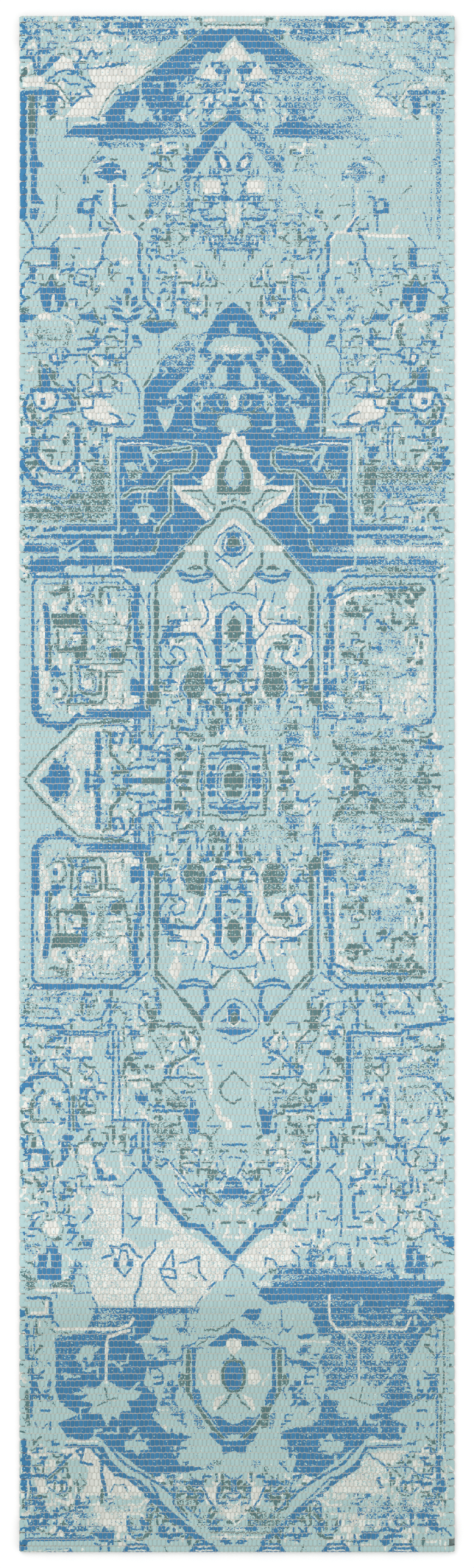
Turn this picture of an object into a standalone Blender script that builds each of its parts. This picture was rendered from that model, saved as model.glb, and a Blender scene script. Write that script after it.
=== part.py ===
"""Runner rug: a thick warp-faced cotton flatweave, with turned and stitched hems.

The runner lies on the floor plane: +X across it, +Y along it, +Z up, in metres, and the origin at the
middle of its underside. Cotton warp ends run along it as floats, over and under a fat soft weft, which
turns round at each selvedge. The cloth is laid out in four quarters that fold on three lines: each end
quarter folds up and over on to the middle, and the runner then folds in half.
"""

import math

import bmesh
import bpy

# Driving sizes of the cloth
WIDTH = 0.686
LENGTH = 2.424
PICKS = 232
PITCH = LENGTH / PICKS
END_PICKS = 57
THICKNESS = 0.007

# The layers of the cloth, from the floor up
GAP = 0.0003
FLOAT_THICKNESS = 0.001
FACE_LOW = THICKNESS - FLOAT_THICKNESS
WEFT_LOW = FLOAT_THICKNESS + GAP
WEFT_HIGH = FACE_LOW - GAP
RIB_DEPTH = 0.0006
RIB_CREST = 0.55

# The weft's turns at the selvedges
TURN_REACH = 0.0115
TURN_WALL = 0.0080
TURN_CHAMFER = 0.0024
PICK_GAP = 0.0012
SELVEDGE = WIDTH / 2
WARP_EDGE = SELVEDGE - TURN_REACH

# The hems: the end of the cloth turned under, pressed thin and stitched down
HEM_PICKS = 3
RAMP_PICKS = 3
HEM_THICKNESS = 0.0042
HEM_LIFT = HEM_THICKNESS + GAP
HEM_HEIGHT = THICKNESS + HEM_LIFT
NOSE_RADIUS = HEM_HEIGHT / 2
NOSE_STEPS = 8
SEAM_GROOVE = 0.0011
THREAD_RADIUS = 0.00035
STITCH = 0.0068

# The fold lines lie between picks, where the quarters part
END_FOLD = (PICKS // 2 - END_PICKS) * PITCH
END = LENGTH / 2
QUARTERS = {
    1: (-END + PITCH, -END_FOLD),
    2: (-END_FOLD, 0.0),
    3: (0.0, END_FOLD),
    4: (END_FOLD, END - PITCH),
}

# Colours: printed face, natural cotton, and the hems' sewing thread
PRINTED_AQUA = (0.45, 0.68, 0.70)
NATURAL_COTTON = (0.78, 0.75, 0.68)
WEFT_BLUE = (0.12, 0.35, 0.60)
THREAD_BEIGE = (0.70, 0.64, 0.55)
COTTON_ROUGHNESS = 0.9


def clear_scene():
    for obj in list(bpy.data.objects):
        bpy.data.objects.remove(obj)


def cotton(name, colour):
    material = bpy.data.materials.new(name)
    material.use_nodes = True
    shader = material.node_tree.nodes["Principled BSDF"]
    shader.inputs["Base Color"].default_value = (*colour, 1.0)
    shader.inputs["Roughness"].default_value = COTTON_ROUGHNESS
    shader.inputs["Metallic"].default_value = 0.0
    return material


def lift(y):
    """How far the hem under it raises the cloth at y: a ramp, and then flat to the end."""
    from_end = (END - abs(y)) / PITCH
    share = (HEM_PICKS + RAMP_PICKS - from_end) / RAMP_PICKS
    return HEM_LIFT * min(1.0, max(0.0, share))


def flat_curve(name, outline, depth):
    """A flat outline of (x, y) points, filled and extruded to the full depth along its own Z."""
    curve = bpy.data.curves.new(name, "CURVE")
    curve.dimensions = "2D"
    curve.fill_mode = "BOTH"
    curve.extrude = depth / 2
    spline = curve.splines.new("POLY")
    spline.points.add(len(outline) - 1)
    for point, (x, y) in zip(spline.points, outline):
        point.co = (x, y, 0.0, 1.0)
    spline.use_cyclic_u = True
    return bpy.data.objects.new(name, curve)


def as_mesh(obj, collection, material):
    """The curve object made a closed mesh object of the same name, with its place in its mesh."""
    bpy.context.scene.collection.objects.link(obj)
    bpy.context.view_layer.update()
    evaluated = obj.evaluated_get(bpy.context.evaluated_depsgraph_get())
    mesh = bpy.data.meshes.new_from_object(evaluated)
    mesh.transform(obj.matrix_world)
    name = obj.name
    bpy.data.objects.remove(obj)
    work = bmesh.new()
    work.from_mesh(mesh)
    bmesh.ops.remove_doubles(work, verts=work.verts, dist=0.00001)
    bmesh.ops.recalc_face_normals(work, faces=work.faces)
    work.to_mesh(mesh)
    work.free()
    mesh.name = name
    mesh.materials.clear()
    mesh.materials.append(material)
    made = bpy.data.objects.new(name, mesh)
    collection.objects.link(made)
    return made


def across(obj):
    """Turns an outline drawn as (y, z) so that it is extruded along X."""
    obj.rotation_euler = (math.pi / 2, 0.0, math.pi / 2)
    return obj


def ribbed_top(low, high):
    """The face's outline from low to high: a flat crest over each pick and a valley on each side of it."""
    picks = round((high - low) / PITCH)
    shoulder = PITCH * (1 - RIB_CREST) / 2
    top = []
    for pick in range(picks):
        start = low + pick * PITCH
        stop = start + PITCH
        top.append((start, THICKNESS - RIB_DEPTH + lift(start)))
        top.append((start + shoulder, THICKNESS + lift(start + shoulder)))
        top.append((stop - shoulder, THICKNESS + lift(stop - shoulder)))
    top.append((high, THICKNESS - RIB_DEPTH + lift(high)))
    return trimmed(top, low, high)


def trimmed(points, low, high):
    """The points with the first and last drawn in, so that quarters and hems stay clear of each other."""
    start_gap = GAP / 2 if abs(low) < END - 2 * PITCH else SEAM_GROOVE / 2
    stop_gap = GAP / 2 if abs(high) < END - 2 * PITCH else SEAM_GROOVE / 2
    first, last = points[0], points[-1]
    return [(first[0] + start_gap, first[1]), *points[1:-1], (last[0] - stop_gap, last[1])]


def bends(low, high):
    """Where the cloth bends between low and high: its two ends, and the ramp over a hem."""
    knots = [sign * (END - picks * PITCH) for sign in (-1, 1) for picks in (HEM_PICKS, HEM_PICKS + RAMP_PICKS)]
    return [low, *sorted(knot for knot in knots if low < knot < high), high]


def layer_line(low, high, height):
    return trimmed([(y, height + lift(y)) for y in bends(low, high)], low, high)


def make_face(quarter, collection, material):
    low, high = QUARTERS[quarter]
    outline = ribbed_top(low, high) + layer_line(low, high, FACE_LOW)[::-1]
    obj = across(flat_curve(f"face_warp_{quarter}", outline, 2 * WARP_EDGE))
    return as_mesh(obj, collection, material)


def make_back(quarter, collection, material):
    low, high = QUARTERS[quarter]
    outline = layer_line(low, high, FLOAT_THICKNESS) + layer_line(low, high, 0.0)[::-1]
    obj = across(flat_curve(f"back_warp_{quarter}", outline, 2 * WARP_EDGE))
    return as_mesh(obj, collection, material)


def weft_side(low, picks, side, first_turn):
    """One side of the weft's outline, going up: side is -1 for left and 1 for right."""
    inner = -side * (SELVEDGE - TURN_WALL)
    points = []

    def opens_here(slot):
        return (slot + first_turn) % 2 == (side > 0)

    for pick in range(picks):
        start = low + pick * PITCH + PICK_GAP / 2
        stop = start + PITCH - PICK_GAP
        if pick == 0 or opens_here(pick - 1):
            points.append((side * (SELVEDGE - TURN_CHAMFER), start))
            points.append((side * SELVEDGE, start + TURN_CHAMFER))
        if pick == picks - 1 or opens_here(pick):
            points.append((side * SELVEDGE, stop - TURN_CHAMFER))
            points.append((side * (SELVEDGE - TURN_CHAMFER), stop))
        if pick < picks - 1 and opens_here(pick):
            points.append((inner, stop))
            points.append((inner, stop + PICK_GAP))
    return points


def make_weft(quarter, collection, material):
    """The weft laid back and forth across the quarter, with its turns standing out at the selvedges."""
    low, high = QUARTERS[quarter]
    picks = round((high - low) / PITCH)
    first_turn = round((low + END) / PITCH) % 2
    left = weft_side(low, picks, -1, first_turn)
    right = weft_side(low, picks, 1, first_turn)
    obj = flat_curve(f"weft_{quarter}", left + right[::-1], WEFT_HIGH - WEFT_LOW)
    obj.location.z = (WEFT_HIGH + WEFT_LOW) / 2
    made = as_mesh(obj, collection, material)
    for vertex in made.data.vertices:
        vertex.co.z += lift(vertex.co.y)
    return made


def make_hem(quarter, collection, material):
    """The end of the cloth turned under: a round nose, and the allowance that lies beneath."""
    sign = -1 if quarter == 1 else 1
    nose = PITCH - SEAM_GROOVE / 2
    arc = []
    for step in range(NOSE_STEPS + 1):
        angle = math.pi * step / NOSE_STEPS
        arc.append((NOSE_RADIUS * (1 - math.sin(angle)), NOSE_RADIUS * (1 + math.cos(angle))))
    allowance = HEM_PICKS * PITCH - GAP
    outline = [(nose, HEM_HEIGHT), *arc, (allowance, 0.0), (allowance, HEM_THICKNESS), (nose, HEM_THICKNESS)]
    placed = [(sign * (END - from_end), z) for from_end, z in outline]
    obj = across(flat_curve(f"hem_{quarter}", placed, 2 * SELVEDGE))
    return as_mesh(obj, collection, material)


def make_hem_thread(quarter, collection, material):
    """The row of stitches that holds the hem, sunk in the groove behind the nose."""
    sign = -1 if quarter == 1 else 1
    name = f"hem_thread_{quarter}"
    curve = bpy.data.curves.new(name, "CURVE")
    curve.dimensions = "3D"
    curve.bevel_depth = THREAD_RADIUS
    curve.bevel_resolution = 0
    curve.use_fill_caps = True
    stitches = int(2 * WARP_EDGE / STITCH)
    spline = curve.splines.new("POLY")
    spline.points.add(2 * stitches)
    crest = HEM_HEIGHT - THREAD_RADIUS
    for index, point in enumerate(spline.points):
        x = (index / (2 * stitches) - 0.5) * stitches * STITCH
        z = crest if index % 2 else crest - 4 * THREAD_RADIUS
        point.co = (x, sign * (END - PITCH), z, 1.0)
    return as_mesh(bpy.data.objects.new(name, curve), collection, material)


def build():
    clear_scene()
    collection = bpy.data.collections.new("runner_rug")
    bpy.context.scene.collection.children.link(collection)
    printed = cotton("printed_cotton", PRINTED_AQUA)
    natural = cotton("natural_cotton", NATURAL_COTTON)
    dyed_weft = cotton("weft_cotton", WEFT_BLUE)
    thread = cotton("sewing_thread", THREAD_BEIGE)
    for quarter in QUARTERS:
        make_face(quarter, collection, printed)
        make_weft(quarter, collection, dyed_weft)
        make_back(quarter, collection, natural)
    for quarter in (1, 4):
        make_hem(quarter, collection, printed)
        make_hem_thread(quarter, collection, thread)


build()
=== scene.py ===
"""The runner rug's looks: woven and printed cotton cloth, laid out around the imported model."""

import copy
import math

import bmesh
import bpy
import numpy as np
from mathutils import Matrix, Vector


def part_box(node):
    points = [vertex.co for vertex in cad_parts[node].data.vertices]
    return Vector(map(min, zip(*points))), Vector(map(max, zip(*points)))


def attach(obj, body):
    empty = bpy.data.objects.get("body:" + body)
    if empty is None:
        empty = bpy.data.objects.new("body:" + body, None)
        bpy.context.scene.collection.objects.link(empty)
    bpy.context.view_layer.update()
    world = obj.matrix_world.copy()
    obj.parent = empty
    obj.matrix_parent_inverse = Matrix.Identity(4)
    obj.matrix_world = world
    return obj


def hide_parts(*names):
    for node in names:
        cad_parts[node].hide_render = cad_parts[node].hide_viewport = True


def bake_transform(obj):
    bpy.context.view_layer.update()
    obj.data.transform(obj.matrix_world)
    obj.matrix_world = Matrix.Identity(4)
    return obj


bl_info = {
    "name": "Runner rug",
    "version": (1, 0, 0),
    "blender": (4, 5, 0),
    "location": "3D View > Sidebar > Runner",
    "description": "Weaves, prints, hems and lays out a cotton runner",
    "category": "Object",
}

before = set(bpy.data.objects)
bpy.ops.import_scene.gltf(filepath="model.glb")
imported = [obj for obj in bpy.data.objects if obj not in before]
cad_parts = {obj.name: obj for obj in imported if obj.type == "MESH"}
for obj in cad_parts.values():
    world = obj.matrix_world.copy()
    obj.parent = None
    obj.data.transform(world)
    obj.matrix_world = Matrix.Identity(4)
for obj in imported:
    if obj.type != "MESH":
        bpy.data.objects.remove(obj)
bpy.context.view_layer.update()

# The cloth's own measures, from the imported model
WIDTH = 2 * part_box("hem_1")[1].x
LENGTH = 2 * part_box("hem_4")[1].y
END = LENGTH / 2
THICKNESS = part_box("face_warp_2")[1].z
HEM_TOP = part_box("hem_4")[1].z
HEM_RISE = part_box("back_warp_4")[1].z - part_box("back_warp_3")[1].z
PICKS = 232
PITCH = LENGTH / PICKS
HEM_PICKS = 3
RAMP_PICKS = 3
END_FOLD = abs(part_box("face_warp_2")[0].y)

CM = 100.0
# The inks, and the line that the print is mirrored about, in centimetres from the runner's middle
BLUE, TEAL, WHITE, AQUA = 0, 1, 2, 3
AXIS = -0.5
BOTH, LEFT, RIGHT = "both", "left", "right"
# The steps that a worn fragment of fretwork may take
STROKES = ((1, 0), (-1, 0), (1, 0), (0, 1), (0, 1), (0, -1), (0.7, 0.7), (-0.7, 0.7))


# ---------------------------------------------------------------- settings

class RunnerCloth(bpy.types.PropertyGroup):
    """The sizes of the weave."""

    columns: bpy.props.IntProperty(
        name="Columns", description="Floats side by side between the selvedges", default=98)
    float_rise: bpy.props.FloatProperty(
        name="Float rise", description="How far a float stands above the gaps", default=0.0017,
        unit="LENGTH")
    sway: bpy.props.FloatProperty(
        name="Sway", description="How far rows wander from straight", default=0.0019, unit="LENGTH")
    jitter: bpy.props.FloatProperty(
        name="Jitter", description="How far each float is pushed about", default=0.0005, unit="LENGTH")
    selvedge: bpy.props.FloatProperty(
        name="Selvedge", description="How far the weft turns stand outside the floats", default=0.0088,
        unit="LENGTH")
    yarn_width: bpy.props.FloatProperty(
        name="Yarn width", description="Width of the weft, pressed flat", default=0.0092, unit="LENGTH")
    yarn_height: bpy.props.FloatProperty(
        name="Yarn height", description="Height of the weft, pressed flat", default=0.0054, unit="LENGTH")
    ply: bpy.props.FloatProperty(
        name="Ply", description="Length of one turn of the weft's plies", default=0.016, unit="LENGTH")
    stitch: bpy.props.FloatProperty(
        name="Stitch", description="Length of the hems' stitches", default=0.0068, unit="LENGTH")


class RunnerColours(bpy.types.PropertyGroup):
    """The colours of yarn and print."""

    aqua: bpy.props.FloatVectorProperty(
        name="Aqua", description="The ground of the print", subtype="COLOR", size=3,
        default=(0.462, 0.648, 0.655))
    blue: bpy.props.FloatVectorProperty(
        name="Blue", description="The main drawing", subtype="COLOR", size=3, default=(0.032, 0.205, 0.425))
    teal: bpy.props.FloatVectorProperty(
        name="Teal", description="The outlines", subtype="COLOR", size=3, default=(0.090, 0.195, 0.205))
    white: bpy.props.FloatVectorProperty(
        name="Off-white", description="The bare face yarn", subtype="COLOR", size=3,
        default=(0.800, 0.795, 0.750))
    # The upright gaps' colour: unprinted yarn made darker and greener with painted shade
    cotton: bpy.props.FloatVectorProperty(
        name="Natural cotton", description="Yarn that no ink reached", subtype="COLOR", size=3,
        default=(0.430, 0.455, 0.400))
    crossing: bpy.props.FloatVectorProperty(
        name="Crossing", description="Bare yarn between one row of floats and the next", subtype="COLOR",
        size=3, default=(0.600, 0.555, 0.495))
    thread: bpy.props.FloatVectorProperty(
        name="Thread", description="The hems' sewing thread", subtype="COLOR", size=3,
        default=(0.480, 0.440, 0.370))


# ---------------------------------------------------------------- shader maths

class Wire:
    """A socket that arithmetic can be written with."""

    def __init__(self, graph, socket):
        self.graph = graph
        self.socket = socket

    def _math(self, operation, *values):
        return self.graph.node("ShaderNodeMath", {"operation": operation}, list(values))

    def __add__(self, other):
        return self._math("ADD", self, other)

    def __radd__(self, other):
        return self._math("ADD", other, self)

    def __sub__(self, other):
        return self._math("SUBTRACT", self, other)

    def __mul__(self, other):
        return self._math("MULTIPLY", self, other)

    def __pow__(self, other):
        return self._math("POWER", self, other)

    def floor(self):
        return self._math("FLOOR", self)

    def fract(self):
        return self._math("FRACT", self)

    def abs(self):
        return self._math("ABSOLUTE", self)

    def wrapped(self, length):
        return self._math("FLOORED_MODULO", self, length)

    def step(self, low, high):
        """0 below low and 1 above high, smooth between."""
        settings = {"interpolation_type": "SMOOTHSTEP"}
        inputs = {"Value": self, "From Min": low, "From Max": high}
        return self.graph.node("ShaderNodeMapRange", settings, inputs)


class Graph:
    """A material's node tree, and the one way its nodes are made."""

    def __init__(self, name):
        self.material = bpy.data.materials.new(name)
        self.material.use_nodes = True
        self.tree = self.material.node_tree
        self.shader = self.tree.nodes["Principled BSDF"]

    def node(self, kind, settings=None, inputs=None, output=0):
        made = self.tree.nodes.new(kind)
        for key, value in (settings or {}).items():
            setattr(made, key, value)
        pairs = inputs.items() if isinstance(inputs, dict) else enumerate(inputs or [])
        for key, value in pairs:
            self.join(made.inputs[key], value)
        return Wire(self, made.outputs[output])

    def join(self, socket, value):
        if isinstance(value, Wire):
            self.tree.links.new(value.socket, socket)
        else:
            socket.default_value = value

    def noise(self, vector, scale, detail=2.0):
        inputs = {"Vector": vector, "Scale": scale, "Detail": detail}
        return self.node("ShaderNodeTexNoise", {}, inputs)

    def vector(self, x, y, z=0.0):
        return self.node("ShaderNodeCombineXYZ", {}, [x, y, z])

    def random(self, x, y):
        settings = {"noise_dimensions": "2D"}
        return self.node("ShaderNodeTexWhiteNoise", settings, {"Vector": self.vector(x, y)})

    def mix(self, share, first, second):
        settings = {"data_type": "RGBA", "clamp_factor": True}
        made = self.tree.nodes.new("ShaderNodeMix")
        for key, value in settings.items():
            setattr(made, key, value)
        for key, value in ((0, share), (6, first), (7, second)):
            self.join(made.inputs[key], value)
        return Wire(self, made.outputs[2])

    def shade(self, colour, factor):
        """The colour made darker or lighter by a factor."""
        return self.node("ShaderNodeVectorMath", {"operation": "SCALE"}, {0: colour[:3], "Scale": factor})

    def parts(self, vector):
        split = self.tree.nodes.new("ShaderNodeSeparateXYZ")
        self.join(split.inputs[0], vector)
        return [Wire(self, socket) for socket in split.outputs]


def rgba(colour):
    return (*colour[:3], 1.0)


# ---------------------------------------------------------------- the print

class Print:
    """The print's inks on a fine grid. A place is centimetres left of the middle, and from the far end."""

    STEP = 0.125
    EDGE = 0.07
    MARGIN = 0.3

    def __init__(self):
        half = WIDTH * CM / 2
        self.u = np.arange(-half, half + self.STEP, self.STEP)
        self.v = np.arange(0.0, LENGTH * CM + self.STEP, self.STEP)
        self.ink = np.zeros((len(self.v), len(self.u), 4), np.float32)
        self.side = BOTH

    def on(self, side):
        """The same print, for strokes on one side only."""
        brush = copy.copy(self)
        brush.side = side
        return brush

    def window(self, points, margin):
        """The rows and columns of the grid around some points."""
        us, vs = [p[0] for p in points], [p[1] for p in points]
        a = np.searchsorted(self.u, [min(us) - margin, max(us) + margin])
        b = np.searchsorted(self.v, [min(vs) - margin, max(vs) + margin])
        return slice(b[0], b[1]), slice(a[0], a[1])

    def distance(self, points, closed, where):
        """How far each point of the window is from the points' outline."""
        grid_u, grid_v = np.meshgrid(self.u[where[1]], self.v[where[0]])
        best = np.full(grid_u.shape, 1e9)
        inside = np.zeros(grid_u.shape, bool)
        count = len(points) if closed else len(points) - 1
        for index in range(count):
            (au, av), (bu, bv) = points[index], points[(index + 1) % len(points)]
            du, dv = bu - au, bv - av
            share = ((grid_u - au) * du + (grid_v - av) * dv) / max(du * du + dv * dv, 1e-9)
            share = np.clip(share, 0, 1)
            best = np.minimum(best, np.hypot(grid_u - au - share * du, grid_v - av - share * dv))
            if closed and av != bv:
                crosses = (av > grid_v) != (bv > grid_v)
                inside ^= crosses & (grid_u < au + (grid_v - av) / dv * du)
        return np.where(inside, -best, best) if closed else best

    def lay(self, ink, cover, mask, where):
        """An ink in place of what was there, and aqua as no ink at all."""
        layers = self.ink[where]
        wanted = np.zeros(4, np.float32)
        if ink != AQUA:
            wanted[ink] = cover
        mask = mask[..., None]
        self.ink[where] = layers * (1 - mask) + wanted * mask

    def placed(self, points):
        """The points on the runner: as given, mirrored about the print's axis, or both."""
        given = [(-u, v) for u, v in points]
        mirrored = [(2 * AXIS + u, v) for u, v in points]
        return {BOTH: [given, mirrored], LEFT: [given], RIGHT: [mirrored]}[self.side]

    def fill(self, ink, cover, *points):
        for shape in self.placed(points):
            where = self.window(shape, self.MARGIN)
            distance = self.distance(shape, True, where)
            self.lay(ink, cover, np.clip(0.5 - distance / (2 * self.EDGE), 0, 1), where)

    def block(self, ink, cover, first, second):
        """An upright rectangle between two corners."""
        self.fill(ink, cover, first, (second[0], first[1]), second, (first[0], second[1]))

    def line(self, ink, width, cover, *points, closed=False):
        for shape in self.placed(points):
            where = self.window(shape, width + self.MARGIN)
            distance = self.distance(shape, closed, where) - width / 2
            self.lay(ink, cover, np.clip(0.5 - distance / (2 * self.EDGE), 0, 1), where)

    def cloud(self, u, v, reach_u, reach_v):
        """A soft round patch: its window, and how strong it is at each point there."""
        where = self.window([(-u - 2 * reach_u, v - 2 * reach_v), (-u + 2 * reach_u, v + 2 * reach_v)], 0)
        grid_u, grid_v = np.meshgrid(self.u[where[1]], self.v[where[0]])
        far = ((grid_u + u) / reach_u) ** 2 + ((grid_v - v) / reach_v) ** 2
        return where, np.exp(-0.7 * far ** 1.5)

    def dust(self, ink, cover, u, v, reach_u, reach_v):
        """Speckles of an ink over a soft patch."""
        where, strength = self.cloud(u, v, reach_u, reach_v)
        self.lay(ink, 1.0, cover * strength, where)

    def wear(self, share, u, v, reach_u, reach_v):
        """Ink rubbed away over a soft patch."""
        where, strength = self.cloud(u, v, reach_u, reach_v)
        self.ink[where] *= 1 - share * strength[..., None]

    def scatter(self, ink, count, box, cover=0.95, width=0.36):
        """Worn fragments of fretwork: short stepped strokes at seeded places inside a box."""
        u0, v0, u1, v1 = box
        chance = np.random.default_rng([ink, count, 1000 - int(u0 * 10), int(v0 * 10)])
        for _ in range(count):
            u, v = chance.uniform(-u0, -u1), chance.uniform(v0, v1)
            points = [(-u, v)]
            for _ in range(chance.integers(1, 4)):
                step_u, step_v = STROKES[chance.integers(len(STROKES))]
                far = chance.uniform(0.5, 1.4)
                u, v = u + step_u * far, v + step_v * far
                points.append((-u, v))
            self.line(ink, width * chance.uniform(0.6, 1.4), cover, *points)

    def fragments(self, box, *counts):
        """White, teal and blue fragments in one box, as many of each as asked."""
        for ink, count in zip((WHITE, TEAL, BLUE), counts):
            self.scatter(ink, count, box)

    def turn_over(self, about, reach):
        """What lies before a row repeated after it, mirrored."""
        middle = round(about / self.STEP)
        count = round(reach / self.STEP)
        self.ink[middle : middle + count] = self.ink[middle - count : middle][::-1]

    def sample(self, u, v):
        """The inks at places given in centimetres, between the grid's points."""
        fu = np.clip((u - self.u[0]) / self.STEP, 0, len(self.u) - 1.001)
        fv = np.clip((v - self.v[0]) / self.STEP, 0, len(self.v) - 1.001)
        iu, iv = fu.astype(int), fv.astype(int)
        su, sv = (fu - iu)[..., None], (fv - iv)[..., None]
        top = self.ink[iv, iu] * (1 - su) + self.ink[iv, iu + 1] * su
        low = self.ink[iv + 1, iu] * (1 - su) + self.ink[iv + 1, iu + 1] * su
        return top * (1 - sv) + low * sv


def draw_fragments(p, left, right):
    """The broken fretwork that fills the ground between the larger shapes."""
    p.fragments((34, 0.5, 1, 3), 40, 12, 70)
    p.fragments((34, 2, 15, 16), 80, 26, 70)
    p.fragments((13, 8, 1, 17), 30, 4, 60)
    p.fragments((15, 19, 7, 37), 12, 36, 44)
    p.fragments((7, 24, 1, 37), 6, 10, 34)
    p.fragments((27, 18, 16, 38), 6, 12, 16)
    p.fragments((34, 38, 17, 60), 40, 40, 66)
    p.fragments((14, 36, 3, 47), 20, 20, 22)
    p.fragments((34, 59, 20, 81), 70, 84, 80)
    p.fragments((34, 80, 14, 88), 34, 14, 90)
    p.fragments((31, 89, 15, 112), 130, 58, 46)
    p.fragments((12, 86, 1, 106), 100, 22, 34)
    p.fragments((14, 104, 1, 120), 60, 30, 42)
    right.fragments((33, 112, 15, 120), 60, 44, 26)
    left.fragments((28, 112, 14, 120), 30, 10, 30)


def draw_lower_fragments(p, left, right):
    """The same fretwork past the turned-over part."""
    p.fragments((34, 152, 13, 161), 50, 28, 42)
    p.fragments((34, 160, 20, 186), 110, 52, 74)
    p.fragments((19, 158, 6, 182), 50, 66, 40)
    p.fragments((10, 178, 1, 192), 36, 22, 18)
    p.fragments((34, 184, 19, 200), 66, 20, 44)
    right.fragments((17, 186, 6, 200), 60, 10, 30)
    p.fragments((34, 200, 29, 226), 4, 20, 22)
    p.fragments((34, 226, 16, 241), 190, 44, 110)
    p.fragments((15, 230, 1, 240), 80, 80, 60)


def draw_far_roof(p, left, right):
    """The half medallion at the far end: a stepped blue roof under its outlines."""
    p.fill(WHITE, 0.85, (23.5, 8.4), (13.2, 7.6), (15.6, 10.4), (18.6, 11), (21.5, 15.9), (27.2, 16.1),
           (24.4, 12.2), (22.6, 11.4))
    p.fill(WHITE, 0.7, (26.2, 4.4), (23, 4), (20, 3.2), (20.5, 5.6), (24.4, 6.2))
    p.fill(WHITE, 0.6, (15.5, 5.2), (12.6, 4.8), (12.8, 6.8), (15.4, 7.2))
    p.line(TEAL, 0.3, 0.75, (-4.2, 1.5), (4.6, 1.5), (8, 4.4), (10, 6.1), (12, 7.4), (16.6, 10.8),
           (18.8, 11.1), (20.6, 13.2), (21.9, 16))
    p.line(TEAL, 0.25, 0.6, (11.3, 5.6), (12.6, 7), (14.6, 8.4))
    p.line(WHITE, 0.35, 1, (-4, 1.95), (5, 1.95))
    p.fill(BLUE, 1, (4.5, 2.3), (5.8, 4.6), (8.4, 5.5), (8.8, 8.9), (7, 9.7), (5.8, 8.3), (5.1, 5.5),
           (2.9, 6.1), (2.3, 5.2), (0.5, 3.1), (0.5, 2.3))
    p.fill(WHITE, 0.9, (0.5, 3.7), (2, 5.5), (3.4, 7.2), (1.2, 7), (0.5, 6.3))
    p.fill(BLUE, 0.7, (2.9, 7.8), (1.7, 7.6), (0.8, 8.6), (1.4, 9.5), (2.8, 9.2))
    p.fill(WHITE, 1, (4.3, 7.6), (5.9, 9.9), (3.2, 10), (3, 9.3))
    p.fill(BLUE, 0.6, (6, 10), (2, 10.2), (2.2, 12), (5, 11.8))
    p.fill(BLUE, 0.5, (11, 9.4), (8.2, 9.6), (8, 12.6), (10.6, 13))
    left.fill(WHITE, 1, (0.2, 10.5), (-1.4, 10.8), (-0.8, 12.2))
    left.fill(BLUE, 1, (0.9, 12.8), (-0.6, 12.8), (-0.3, 14.3), (0.8, 14.2))
    p.fill(BLUE, 1, (20.7, 17), (20.7, 15.4), (17.7, 12), (15.2, 12), (15.2, 10.6), (12.6, 9.4), (10.4, 9),
           (10.4, 13.8), (10.3, 16.2), (12, 17), (14.6, 14.9), (16.2, 15.4), (17, 17))
    p.fill(BLUE, 0.8, (5, 1.8), (7.5, 4.4), (11.4, 7.3), (14.9, 10.1), (19.2, 14.4), (20.7, 17), (11, 17.6),
           (8.2, 14.4), (9.6, 11.5), (7.1, 8.7), (4.6, 5.8))
    p.line(AQUA, 0.25, 1, (15.2, 10), (15.2, 14))
    p.fill(AQUA, 1, (17.6, 15.6), (16.2, 15), (15.4, 13.6), (14.6, 14.8), (13, 15.2), (14.4, 16.4),
           (15.4, 17.4), (16.4, 16.4))
    p.scatter(AQUA, 26, (20, 3, 5, 17), width=0.28)
    p.fill(BLUE, 1, (25.8, 17.4), (20.6, 17.2), (17, 16.8), (12.5, 17.3), (9.6, 16.3), (7, 17.4),
           (6.3, 19.2), (12, 19.3), (16, 19.6), (20.6, 19.2), (27.3, 19.2))
    p.line(WHITE, 0.3, 1, (25.6, 17), (20.6, 16.7))
    p.dust(BLUE, 0.5, 18, 20.2, 6, 0.8)
    p.wear(0.42, -16, 14.5, 6, 6)
    p.wear(0.4, -9, 11, 4, 3)
    p.wear(0.5, 9, 17.8, 3.6, 1.4)
    p.wear(0.75, -23, 18, 5, 1.5)


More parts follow.
